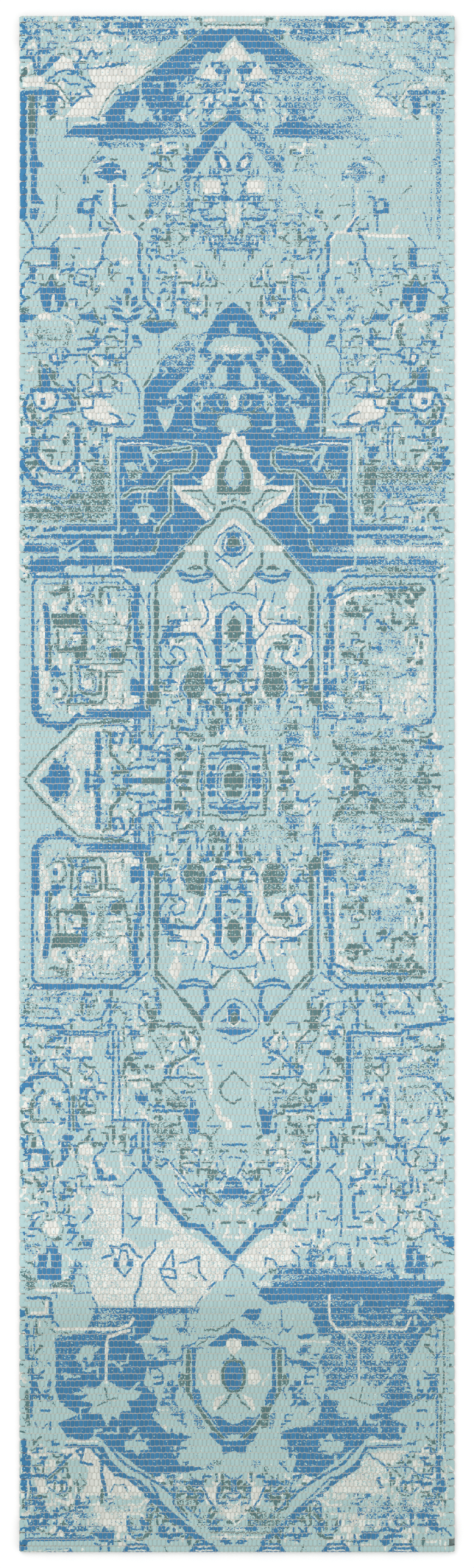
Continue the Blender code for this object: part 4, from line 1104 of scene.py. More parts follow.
def draw_step_frames(p, left, right):
    """The stepped blue outline below the panels, and the flowers in its corners."""
    left.line(BLUE, 0.4, 0.9, (34.2, 159.3), (27.6, 159.4))
    left.line(BLUE, 0.4, 0.95, (28.6, 160), (27, 160.8), (20.4, 160.9))
    left.line(BLUE, 0.4, 0.9, (27.6, 160.2), (20.2, 160.4))
    left.line(BLUE, 0.35, 1, (19.5, 160.2), (19.6, 174.6))
    left.line(BLUE, 0.3, 1, (18.7, 160.2), (18.5, 173.6))
    left.line(BLUE, 0.55, 1, (19.6, 174.3), (14.6, 174.3))
    left.line(BLUE, 0.4, 1, (14.8, 174.4), (14.8, 181.8), (11.6, 185.2))
    left.line(BLUE, 0.4, 1, (14, 174.4), (14, 181))
    left.line(BLUE, 0.9, 0.95, (14.5, 181.6), (12.2, 184.4), (11.8, 186.4))
    right.line(BLUE, 0.45, 1, (35.2, 158.2), (32.6, 158.8), (27.6, 159.6), (26.8, 160.6), (18.6, 160.4))
    right.line(BLUE, 0.25, 1, (34, 159), (27.4, 160), (26.6, 161), (19.4, 161))
    right.line(BLUE, 0.8, 1, (18.6, 160.6), (18.6, 174.2))
    right.line(BLUE, 0.25, 0.8, (19.4, 161), (19.2, 171))
    right.line(BLUE, 0.45, 1, (19, 174.2), (13.6, 174.2))
    right.line(BLUE, 0.6, 1, (13.8, 174.6), (13.9, 181.4), (11.2, 184.4), (11.2, 186.4))
    right.line(BLUE, 0.8, 1, (13.6, 182), (11.2, 184.6))
    right.line(WHITE, 0.25, 0.6, (14, 175), (14, 180.4))
    p.wear(0.35, -17.6, 171, 1.4, 2)
    p.line(BLUE, 0.35, 1, (11.4, 180.4), (6.6, 186.2))
    p.line(WHITE, 0.3, 0.9, (10.8, 181), (6.4, 186.2))
    p.line(BLUE, 0.3, 0.9, (10.4, 181), (6, 186.2))
    p.line(BLUE, 0.35, 1, (20, 155), (20, 160))
    # capped flower and blocks in the corner
    p.line(BLUE, 0.4, 0.7, (18.2, 155.6), (15.6, 155.8), (13.6, 157.8))
    p.line(BLUE, 0.45, 0.85, (15.4, 156), (15.4, 158), (14, 159.2))
    left.line(BLUE, 0.5, 0.9, (12.6, 154.2), (12.3, 157.4))
    p.fill(TEAL, 0.8, (14.4, 156.8), (12.6, 156.8), (12.6, 158.2), (14, 158.4))
    p.line(TEAL, 0.4, 0.65, (19.4, 157.2), (18.6, 156.6), (17.4, 158), (18, 160), (17.6, 162.6))
    p.line(TEAL, 0.4, 0.6, (14, 159), (13.8, 161), (12.4, 163), (11.6, 165))
    p.line(TEAL, 0.4, 0.65, (16.6, 161), (16.2, 163.8))
    left.fill(BLUE, 1, (16.4, 163.4), (14, 163.4), (14.4, 164), (15.2, 164.2), (16, 164))
    right.fill(BLUE, 1, (16.2, 163.2), (13.4, 163.2), (14.2, 164.1), (15.6, 164.1))
    right.line(BLUE, 0.3, 1, (14.8, 164), (14.8, 166))
    p.fill(WHITE, 0.8, (15.8, 162), (14, 162), (14.2, 163), (15.8, 163))
    left.fill(TEAL, 0.9, (16.8, 165.2), (15.6, 165.2), (15.6, 166.6), (16.8, 166.4))
    left.block(TEAL, 0.9, (14.6, 165.4), (13, 166.2))
    left.line(WHITE, 0.4, 0.9, (17.6, 167.2), (14, 167.3))
    p.line(TEAL, 0.45, 0.75, (17, 168), (14, 167.8), (12.4, 169.4), (12, 170.2))
    p.line(TEAL, 0.4, 0.7, (18, 166.4), (17.4, 169))
    p.fill(BLUE, 1, (16, 169.6), (15.4, 170.6), (15.2, 169.4), (14.6, 170.4), (14.2, 169.6), (14, 171.4),
           (15.2, 171.8), (16, 171.2))
    p.line(BLUE, 0.3, 0.9, (14.2, 171.2), (12.6, 172.6))
    p.line(BLUE, 0.3, 0.8, (14.8, 172.2), (14, 173.4))
    p.fill(WHITE, 0.6, (15.6, 172.2), (14.2, 172.4), (14.4, 173.4), (15.6, 173.2))
    p.line(TEAL, 0.4, 0.5, (17.6, 173), (17, 171), (16.4, 170.4))
    right.line(TEAL, 0.4, 0.8, (17.8, 164.6), (16.8, 165.8))


def draw_lower_rings(p, left, right):
    """The ring flowers and speckled scrolls near the selvedges below the panels."""
    p.dust(TEAL, 0.42, 32, 156.6, 3.4, 1.6)
    p.dust(TEAL, 0.4, 23.6, 157, 3, 1.2)
    p.dust(BLUE, 0.4, 28, 155, 5, 1.2)
    left.line(BLUE, 0.45, 0.75, (31, 156.6), (28.4, 156.8), (27.8, 158.2), (31.6, 158))
    left.line(BLUE, 0.45, 0.8, (26.6, 157.4), (25, 157.6), (24, 158.4), (26.4, 158.4))
    left.line(BLUE, 0.4, 0.8, (23.6, 158.6), (21.4, 158.2), (20.2, 155.8))
    left.line(WHITE, 0.5, 0.5, (28, 156.2), (24, 159))
    left.line(WHITE, 0.3, 0.8, (28, 162.5), (23, 162.5))
    right.line(BLUE, 0.5, 0.6, (28.6, 156), (28.6, 157.4), (25, 157.2))
    right.line(BLUE, 0.4, 0.8, (18, 155.4), (17.8, 157.4), (16.4, 158))
    p.dust(BLUE, 0.35, -24, 157, 3, 1)
    right.line(TEAL, 0.5, 0.6, (33.6, 157), (32.4, 155.4), (32, 153.6))
    # speckled strips and ring on the right
    right.fill(TEAL, 0.45, (21.4, 162.8), (28.8, 162.6), (28.6, 163.8), (21.4, 163.8))
    right.block(BLUE, 0.65, (28.6, 163.6), (23.4, 164.4))
    right.fill(TEAL, 0.7, (30, 162.6), (34, 162.4), (34, 163.4), (30, 163.4))
    right.fill(TEAL, 0.55, (21, 163), (22.4, 163), (22.4, 167), (21, 168.4))
    p.dust(TEAL, 0.45, -29.6, 166.2, 3.4, 1.4)
    right.line(BLUE, 0.3, 0.8, (24, 164.8), (24, 166.6))
    right.line(BLUE, 0.3, 0.8, (29.6, 165), (29.6, 166.4))
    right.line(BLUE, 0.6, 0.7, (26.6, 167.6), (29, 167), (31.6, 167.6), (33.6, 169.4), (34, 171.2))
    right.line(TEAL, 0.5, 0.6, (28.2, 169), (31, 168.9), (33.2, 171), (33.6, 174))
    right.line(BLUE, 0.3, 0.6, (30.6, 169.6), (32.2, 171), (31.6, 173.4), (31, 174.4))
    right.line(BLUE, 0.3, 1, (25.9, 170), (25.9, 176.8))
    right.line(BLUE, 0.4, 0.8, (24.8, 170.2), (24.8, 175.4))
    right.line(WHITE, 0.6, 0.6, (25.4, 168.6), (25.4, 175.4))
    p.dust(WHITE, 0.5, -27.6, 171.8, 2.6, 2)
    p.dust(TEAL, 0.35, -27.6, 171, 2.2, 1.6)
    right.line(BLUE, 0.4, 0.7, (21.4, 168), (23.4, 170), (24.6, 171.2))
    right.line(WHITE, 0.6, 0.6, (21.2, 169.6), (22.6, 168.4), (23.6, 169.8))
    right.line(BLUE, 0.35, 0.8, (21.4, 173.4), (21.4, 176.4))
    right.fill(BLUE, 1, (25.4, 176.8), (27.6, 176.8), (26.4, 177.8))
    right.line(BLUE, 0.35, 1, (26.2, 177.8), (26.2, 180.2), (27.4, 181.4))
    right.line(BLUE, 0.35, 0.8, (28.4, 179), (29.6, 178.4), (31.4, 178.6), (32.4, 180), (32.2, 182),
               (29.8, 182.2))
    right.line(TEAL, 0.3, 0.6, (29.4, 180), (30.2, 179), (31.2, 180), (31, 181.6), (29.6, 181.4))
    right.line(BLUE, 0.35, 0.8, (29.4, 178.6), (30.2, 177), (31.4, 175.6))
    right.line(BLUE, 0.7, 0.7, (28.6, 183), (28.4, 185.6))
    right.line(BLUE, 0.35, 0.9, (29.4, 183.4), (29.6, 185.4))
    right.line(WHITE, 0.3, 0.7, (33.2, 178), (32.6, 181))
    right.line(WHITE, 0.5, 0.9, (19.4, 176.9), (22, 177))
    right.line(BLUE, 0.35, 0.8, (20.8, 177.4), (21.2, 179))
    p.dust(TEAL, 0.4, -22.4, 177.4, 1.6, 0.8)
    right.line(TEAL, 0.35, 0.7, (20.4, 180), (20.2, 182), (22.6, 181.8))
    right.line(BLUE, 0.35, 0.8, (22.6, 179.6), (22.8, 182.8))
    right.line(WHITE, 0.4, 0.7, (24.6, 178.6), (23.6, 181.6), (23.4, 184))
    right.fill(BLUE, 1, (18.6, 182.6), (19.4, 183.4), (19.8, 184.4), (18.8, 184.4))
    right.line(BLUE, 0.4, 1, (19.6, 183.6), (21.4, 183.4), (22, 182), (21.4, 181))
    right.line(BLUE, 0.4, 1, (15.6, 181.8), (16.8, 183.4), (17.4, 184.4), (17.4, 186))
    # the big ring and its hanging drop on the left
    left.line(BLUE, 0.3, 0.8, (29.6, 164.2), (29.4, 164.6), (27.6, 164.6))
    left.line(BLUE, 0.3, 0.85, (27, 163.6), (26.2, 164.6), (24.8, 164.4), (24.8, 166.6), (23.6, 166.6))
    left.line(BLUE, 0.35, 0.8, (28.8, 165), (28.8, 166.2))
    left.line(BLUE, 0.9, 1, (34.2, 169.6), (32.2, 167.4), (30, 167), (28.4, 167.4))
    left.line(BLUE, 0.35, 1, (28.6, 167.2), (26.6, 169), (26.4, 170.6))
    left.line(TEAL, 0.5, 0.7, (28, 166), (26.2, 167.2), (26, 169))
    left.line(BLUE, 0.4, 1, (26.4, 170.4), (26.4, 175.6))
    left.line(TEAL, 0.5, 0.8, (25.8, 170.4), (25.8, 175.8))
    left.line(BLUE, 0.25, 0.9, (25.3, 170.4), (25.3, 176))
    left.line(TEAL, 0.8, 0.7, (30.4, 169.6), (32, 171), (32.6, 172.6), (32.2, 174.2), (30.6, 174.4))
    left.line(BLUE, 0.4, 0.9, (30.6, 169.8), (31.6, 170.8), (31.8, 172.4))
    left.fill(WHITE, 0.6, (30.8, 170.8), (29.4, 169.6), (27.4, 170), (26.9, 171.6), (27.8, 171.4),
              (28.2, 170.6), (29.4, 170.6), (30.4, 172.6), (31, 172.6))
    left.line(TEAL, 0.35, 0.7, (23.4, 170.8), (22.4, 171.8), (22.4, 173.2), (23.8, 173.4))
    left.line(WHITE, 0.5, 0.9, (24.6, 168), (23, 168.6))
    left.line(BLUE, 0.35, 1, (23.4, 167.6), (22.8, 167.7))
    left.line(BLUE, 0.35, 0.8, (23.6, 168.8), (24.6, 170.4))
    left.fill(BLUE, 1, (27.6, 176.8), (26.7, 176.2), (25.6, 176.8), (26, 177.4), (26.6, 177.8),
              (27.2, 177.4))
    left.line(BLUE, 0.3, 1, (26.7, 177.6), (26.8, 180), (27.8, 181.4))
    left.line(BLUE, 0.3, 0.9, (32.8, 178.9), (30, 178.9), (29.4, 179.6), (29.8, 182), (32.8, 182.3),
              closed=True)
    left.fill(WHITE, 0.7, (32.4, 179.4), (30.6, 179.6), (30.4, 181.4), (32.6, 181.8))
    left.block(AQUA, 1, (32, 180), (30.9, 181))
    left.fill(TEAL, 0.85, (32.4, 177), (31.6, 176.8), (31.6, 178.6), (32.4, 178.6))
    left.line(BLUE, 0.35, 0.8, (31.4, 175.8), (30.6, 177.4), (30.4, 178.6))
    left.line(BLUE, 0.4, 1, (33.8, 178), (33.2, 179.6))
    left.fill(WHITE, 0.9, (25, 178.2), (23, 178), (22.6, 178.8), (23.4, 180), (24.8, 179.8))
    left.line(TEAL, 0.45, 0.75, (25.4, 179.4), (25, 178), (23.4, 177.4), (22.4, 178.6))
    left.line(TEAL, 0.35, 0.7, (25.4, 180.4), (24.6, 182.4))
    left.line(BLUE, 0.35, 1, (20.6, 177.8), (21.2, 179), (22.4, 179.8), (22.6, 181))
    left.line(WHITE, 0.5, 0.9, (23, 180.4), (23.3, 183), (22.6, 184.2))
    left.fill(WHITE, 1, (19.4, 177.2), (18.4, 177.4), (19.2, 178.4))
    left.line(TEAL, 0.3, 0.8, (17.8, 177.4), (17.8, 179), (20, 179.2))
    left.line(BLUE, 0.45, 1, (22.2, 180.8), (21.8, 183.4), (20, 183.6))
    left.fill(BLUE, 1, (20.2, 183), (19.4, 182.6), (19, 183.6), (20, 184))
    left.line(BLUE, 0.3, 0.9, (19.8, 184.5), (18, 184.6), (16.4, 182.8), (15.8, 181.8))
    left.line(BLUE, 0.3, 1, (17.9, 184.6), (17.9, 186.4))
    left.line(WHITE, 0.3, 0.9, (17.8, 181.7), (15.6, 181.7))
    p.dust(WHITE, 0.45, 20, 185.6, 4, 1)
    left.line(BLUE, 0.35, 0.9, (30, 183), (30, 184.6), (30.8, 185.2))
    left.line(BLUE, 0.35, 0.8, (28.9, 183.2), (28.9, 186.6))
    left.block(TEAL, 0.85, (31.6, 183.8), (31, 185))


def draw_hat_flower(p, left, right):
    """The capped flower between the skirts."""
    p.fill(BLUE, 1, (0.5, 183), (1.4, 183.4), (1.8, 184.2), (2.2, 185.2), (2.2, 186.2), (0.5, 186.2))
    left.line(AQUA, 0.25, 1, (2, 184.5), (-1, 184.5))
    p.line(BLUE, 0.3, 0.9, (1.8, 182.6), (3, 184.4))
    left.line(BLUE, 0.35, 0.8, (3, 182), (1.6, 183.2))
    right.line(BLUE, 0.35, 0.9, (2, 180.9), (1.6, 182), (1, 182.8))
    left.line(TEAL, 0.3, 0.7, (2.8, 175.4), (4.2, 177), (4, 178.4))
    p.dust(TEAL, 0.5, 0.5, 186.6, 3, 0.5)
    p.dust(WHITE, 0.3, -6.6, 181, 1.6, 3)
    right.line(BLUE, 0.3, 0.8, (3.6, 183), (3.2, 184))


def draw_near_star(p, left, right):
    """The deep V, and the aqua star of the near medallion with its oval."""
    p.line(BLUE, 0.3, 0.8, (5, 186), (3.6, 187.4), (2.4, 187.6))
    p.line(BLUE, 0.7, 0.7, (2.6, 186.4), (0.5, 186.4))
    p.line(BLUE, 0.5, 0.6, (2.8, 187.8), (1.6, 188))
    p.line(WHITE, 0.35, 0.6, (3.6, 187.8), (2.4, 189), (1, 188.6))
    left.fill(WHITE, 0.68, (12.6, 189), (8, 191.8), (5, 193.6), (0.6, 197), (2.6, 200), (5.2, 202.4),
              (6.4, 204), (22.4, 203.6), (23.6, 198.6), (22.2, 191), (23.2, 186.4), (12.6, 186.4))
    p.wear(0.3, 22.6, 195, 2.4, 5)
    left.fill(AQUA, 1, (17.6, 186.4), (15, 186.4), (15.2, 191), (10, 191.6), (9.8, 192.4), (12.6, 193.6),
              (15, 194.6), (16.6, 193), (17.6, 192.6))
    left.fill(WHITE, 0.8, (16.8, 186.4), (15.6, 186.8), (15.4, 189.6), (16.8, 189))
    left.fill(WHITE, 0.65, (12.6, 188.2), (9.6, 190), (7.6, 192.4), (9.8, 192.6))
    right.fill(WHITE, 0.35, (10.4, 186.6), (13.6, 186.6), (13.2, 190), (10.2, 191.4))
    right.fill(WHITE, 0.7, (0.6, 196.6), (3.8, 193.6), (7.6, 191.6), (10.2, 192.6), (10.2, 197.6),
               (5, 198.6))
    left.line(BLUE, 0.95, 1, (12, 186.2), (9.4, 189.2), (8, 190.9), (5.6, 191.1), (4.9, 192), (0.6, 196.2))
    right.line(BLUE, 0.85, 1, (11, 186.2), (9, 188.4), (7, 190.9), (4.8, 191.2), (0.6, 195.8))
    p.line(BLUE, 0.3, 0.95, (0.5, 197), (1.8, 198), (2, 199.2))
    p.fill(AQUA, 1, (0.5, 197.6), (2.4, 199.6), (3.2, 200), (6.2, 204.2), (6.4, 205.4), (0.5, 205.4))
    p.line(BLUE, 0.35, 1, (3.4, 199.8), (4.4, 200.8))
    left.line(BLUE, 0.4, 0.8, (1.7, 201.8), (0.5, 202))
    left.line(BLUE, 0.25, 0.9, (5.4, 202), (6.4, 203.4))
    # outlined leaves in the white ground
    leaves = (
        ((12.6, 187.4), (12.7, 190.6)),
        ((18, 186.2), (18, 192.6)),
        ((17.2, 189), (16.4, 189.8), (15.2, 189.6), (16.6, 191.2)),
        ((11.6, 197.2), (10.2, 194.8), (10, 197.2)),
        ((12.2, 197.6), (9.8, 197.8), (9.6, 199.2), (11.6, 199), (12.2, 197.6)),
        ((8.9, 196.8), (7.4, 196.4), (6, 195.8), (6, 198.2), (4.9, 199.4)),
        ((11.6, 199.4), (10.8, 200.6), (9.7, 201.4)),
        ((12.8, 193.2), (12.9, 194.6), (15, 197), (15.2, 200.4), (16.1, 201.8), (16.1, 203.6)),
    )
    for leaf in leaves:
        left.line(BLUE, 0.35, 0.95, *leaf)
    left.line(TEAL, 0.4, 0.6, (7.6, 198.4), (6.4, 199))
    left.line(BLUE, 0.4, 1, (21.2, 195.9), (19.4, 195.4), (20, 194), (18.4, 194.4), (18, 193.8),
              (16.8, 194), (16, 195.4), (15, 195.8))
    left.line(BLUE, 0.3, 1, (18.6, 196), (18.4, 194.8), (17.4, 194.8), (17.2, 196))
    left.fill(BLUE, 0.9, (19.4, 196), (18.6, 196.2), (18.6, 197.4), (19.6, 197.4))
    left.fill(BLUE, 0.9, (17.2, 196.2), (16.4, 196), (16.4, 197.4), (17.4, 197.2))
    left.line(BLUE, 0.3, 1, (18.8, 197.6), (17.7, 199), (16.8, 197.6))
    left.fill(AQUA, 1, (18.4, 197.2), (17.2, 197.2), (17.7, 198.5))
    # the oval
    p.fill(AQUA, 1, (0.5, 205.2), (6.6, 205), (9.2, 207), (8.4, 209.4), (8.6, 212), (7.4, 218), (2.4, 225),
           (0.5, 225))
    left.line(TEAL, 0.45, 0.7, (5, 207.4), (3.2, 207.4), (1.4, 206.4), (0.5, 205.6))
    p.fill(BLUE, 1, (0.5, 206.7), (1.9, 207.9), (3, 208.4), (4.7, 209.9), (0.5, 209.9))
    p.line(TEAL, 0.3, 0.8, (7, 210.6), (6, 209.6), (4.8, 208.8), (3.6, 208.2))
    p.line(BLUE, 0.25, 0.9, (8.2, 209.9), (7, 209.6), (6, 208.6), (3.4, 208.4))
    p.fill(WHITE, 1, (1.6, 208.8), (0.5, 208.6), (0.5, 211.6), (1.2, 210.6), (1.7, 209.8))
    left.line(TEAL, 0.4, 0.8, (1, 211.2), (-0.2, 212.6), (-0.8, 213.8))
    p.line(BLUE, 0.35, 0.9, (2.2, 212.6), (1.4, 211.8))
    p.fill(TEAL, 1, (0.5, 211.8), (1.8, 212.2), (2.4, 213.4), (2.4, 215.6), (1.6, 217), (0.5, 217.3))
    p.fill(BLUE, 1, (0.5, 212.3), (1.5, 212.7), (2, 213.8), (1.9, 215.6), (1.2, 216.7), (0.5, 216.9))
    p.fill(WHITE, 0.95, (4.4, 213.6), (2.8, 213.5), (2.7, 216), (4, 216), (4.8, 215.2))
    p.line(WHITE, 0.4, 0.8, (6, 214.2), (5, 216))
    p.fill(WHITE, 0.95, (1.6, 217.4), (3.4, 218), (4, 219.8), (3.4, 220.2), (2.6, 218.8))
    p.line(TEAL, 0.35, 0.85, (1, 217.4), (1.8, 218.8), (3, 219.8))
    p.line(TEAL, 0.8, 0.85, (7.7, 210.6), (7.7, 216.6))
    p.line(BLUE, 0.55, 1, (6.8, 210.4), (6.8, 217.2))
    p.line(BLUE, 0.3, 0.9, (8.6, 209.8), (8.7, 213), (9.6, 213.9), (10.6, 213.8))
    p.line(BLUE, 0.35, 0.8, (8.4, 210.2), (5.4, 210.2))
    p.line(BLUE, 0.3, 0.8, (9.2, 215.2), (8.2, 216.8), (8.8, 218.4))
    p.fill(TEAL, 0.75, (9.6, 214), (8.2, 214.4), (8.2, 216), (9, 216.4))
    p.line(TEAL, 0.6, 0.9, (7.6, 217.2), (5.4, 220.6), (3.8, 222.9), (2.2, 224.2))
    p.line(BLUE, 0.35, 0.95, (6.8, 217.2), (4.8, 220.4), (3, 222.8), (1.6, 224.3))
    p.fill(BLUE, 0.9, (6.2, 216.4), (5.4, 218.6), (6.8, 219.2), (7, 217.2))
    p.fill(BLUE, 1, (0.5, 222.2), (1.4, 222), (2.6, 221), (3.9, 221), (2.6, 223), (1.7, 223.8),
           (0.5, 223.8))
    p.fill(BLUE, 1, (0.5, 224.8), (2, 224.8), (3.6, 223.4), (4.4, 223.6), (3.6, 224.8), (2.4, 225.6),
           (2.2, 227), (0.5, 226.4))
    p.fill(BLUE, 0.55, (7.4, 219.8), (5.6, 221), (5, 222.8), (6.6, 223))
    right.fill(TEAL, 0.75, (4.8, 219.4), (6.2, 219.4), (6, 222.6), (4.6, 223))


def draw_near_field(p, left, right):
    """The worn blue field around the near star, with its serrated leaves."""
    right.fill(BLUE, 0.86, (5, 200), (9, 199.4), (16, 198.8), (31.6, 199.4), (33.4, 199.2), (35.2, 202.4),
               (35.2, 204.4), (32.6, 205.8), (30.4, 208), (28, 212), (26.6, 217), (13.8, 217), (13.6, 205),
               (10.8, 202.8), (6.4, 203.4), (4.2, 201.8))
    right.fill(BLUE, 1, (6, 201), (9, 200.6), (35.2, 200.6), (35.2, 202.2), (12, 202.6), (9, 202.2),
               (6.2, 203))
    p.dust(BLUE, 0.62, -17, 198.6, 8, 1.2)
    p.dust(BLUE, 0.5, -9, 198.2, 3, 1.2)
    p.dust(WHITE, 0.7, -4.4, 200, 1.4, 0.6)
    p.wear(0.35, -15, 203.6, 4, 2)
    p.wear(0.38, -17, 210.6, 3.2, 4)
    p.wear(0.38, -23, 211.8, 3, 4)
    p.wear(0.3, -8, 199.6, 3, 0.6)
    p.dust(TEAL, 0.4, -23.2, 212.6, 2, 2.2)
    left.fill(BLUE, 0.72, (24, 203.8), (5.8, 203.6), (6, 204.8), (13, 205), (13, 208.6), (15, 210.4),
              (15, 214.6), (16, 217), (28.6, 217), (28.6, 215.6), (28.8, 209), (28.2, 208), (24, 207.8),
              (22, 205))
    left.fill(BLUE, 1, (16.4, 203.6), (13.2, 204), (13, 208.6), (16, 209.4), (14.8, 210.6), (14.8, 216.4),
              (20, 215.4), (20, 211), (19.4, 208.4), (16, 206.2))
    left.fill(BLUE, 1, (23, 209.4), (21, 209), (21, 214.6), (22, 215.8), (29, 216.4), (26, 213.4),
              (23.2, 212.6))
    p.wear(0.3, 26.6, 209.6, 2.4, 2)
    p.wear(0.35, 23, 205.4, 4, 1.4)
    p.dust(TEAL, 0.35, 25, 208.8, 4, 1.6)
    # white outlines through the field
    left.line(WHITE, 0.45, 1, (28.6, 207.2), (18.8, 207.2), (17, 206.6), (16.2, 205.6))
    left.line(WHITE, 0.45, 1, (17, 207.4), (20.2, 208.4), (20.6, 209.6), (20.6, 215.2))
    right.line(AQUA, 0.45, 1, (15.5, 202.4), (15.6, 205.8), (16.8, 207))
    right.line(AQUA, 0.45, 1, (20.6, 202.6), (20.6, 207))
    right.line(AQUA, 0.4, 1, (28.4, 204.6), (28.4, 202), (31.6, 201.8))
    right.line(TEAL, 0.35, 0.9, (29, 202.2), (29, 204.8), (31.4, 205.2), (33.6, 205.8))
    right.line(WHITE, 0.2, 1, (29.4, 202.3), (31.6, 202.3))
    right.fill(AQUA, 1, (32.4, 201.4), (34, 200), (35.4, 199.6), (35.4, 202))
    # serrated leaves either side of the oval
    left.fill(AQUA, 1, (5.6, 205), (12.8, 205), (13, 206), (13.8, 208), (15.6, 208.8), (15, 210),
              (15.2, 212.4), (15, 217), (10.4, 217), (8.8, 214.4), (8.8, 210), (8.4, 208))
    right.fill(AQUA, 1, (5.8, 206.4), (7, 204.8), (9.4, 202.6), (9.6, 204), (12, 203), (12.6, 205),
               (13.2, 207.4), (14.2, 208.6), (16, 208.8), (15, 209.8), (15, 217), (10, 217), (8.8, 214),
               (9, 210), (7.4, 208.6))
    left.fill(BLUE, 1, (14.4, 207.8), (13.2, 208.4), (11.6, 208.8), (11, 208.4), (10.8, 209.6), (13, 209))
    right.fill(BLUE, 1, (10.2, 208.2), (11.8, 208), (13.4, 207.8), (12.4, 208.8), (11, 208.8))
    p.line(WHITE, 0.3, 1, (16, 209.2), (11, 209.2))
    left.fill(BLUE, 1, (14.8, 211.8), (13.6, 212.2), (12.8, 212), (11, 212.2), (11, 213), (13.2, 213.4),
              (14.2, 213))
    right.fill(BLUE, 1, (10.8, 212.2), (11.8, 212), (13.4, 213.2), (12.4, 213.8), (11, 213.2))
    p.line(WHITE, 0.3, 0.9, (12.2, 212), (10.8, 212))
    left.line(WHITE, 0.35, 1, (14.6, 213.4), (13.4, 213.7))
    p.line(WHITE, 0.35, 0.9, (12.8, 215.4), (11, 215.6))
    p.block(BLUE, 0.9, (11.1, 215.4), (10.4, 216.2))
    left.line(BLUE, 0.4, 0.8, (13, 205.4), (11.8, 204.6), (11.4, 205.6))
    p.dust(BLUE, 0.45, 8, 206.8, 2, 1.6)
    p.dust(TEAL, 0.3, 7.4, 206, 2, 1.4)
    p.dust(BLUE, 0.4, -3.6, 206.6, 2.4, 1)
    right.fill(BLUE, 1, (1.4, 205.2), (2.6, 204), (4.8, 204), (4.6, 205.4), (3.6, 206), (2.4, 205.4))


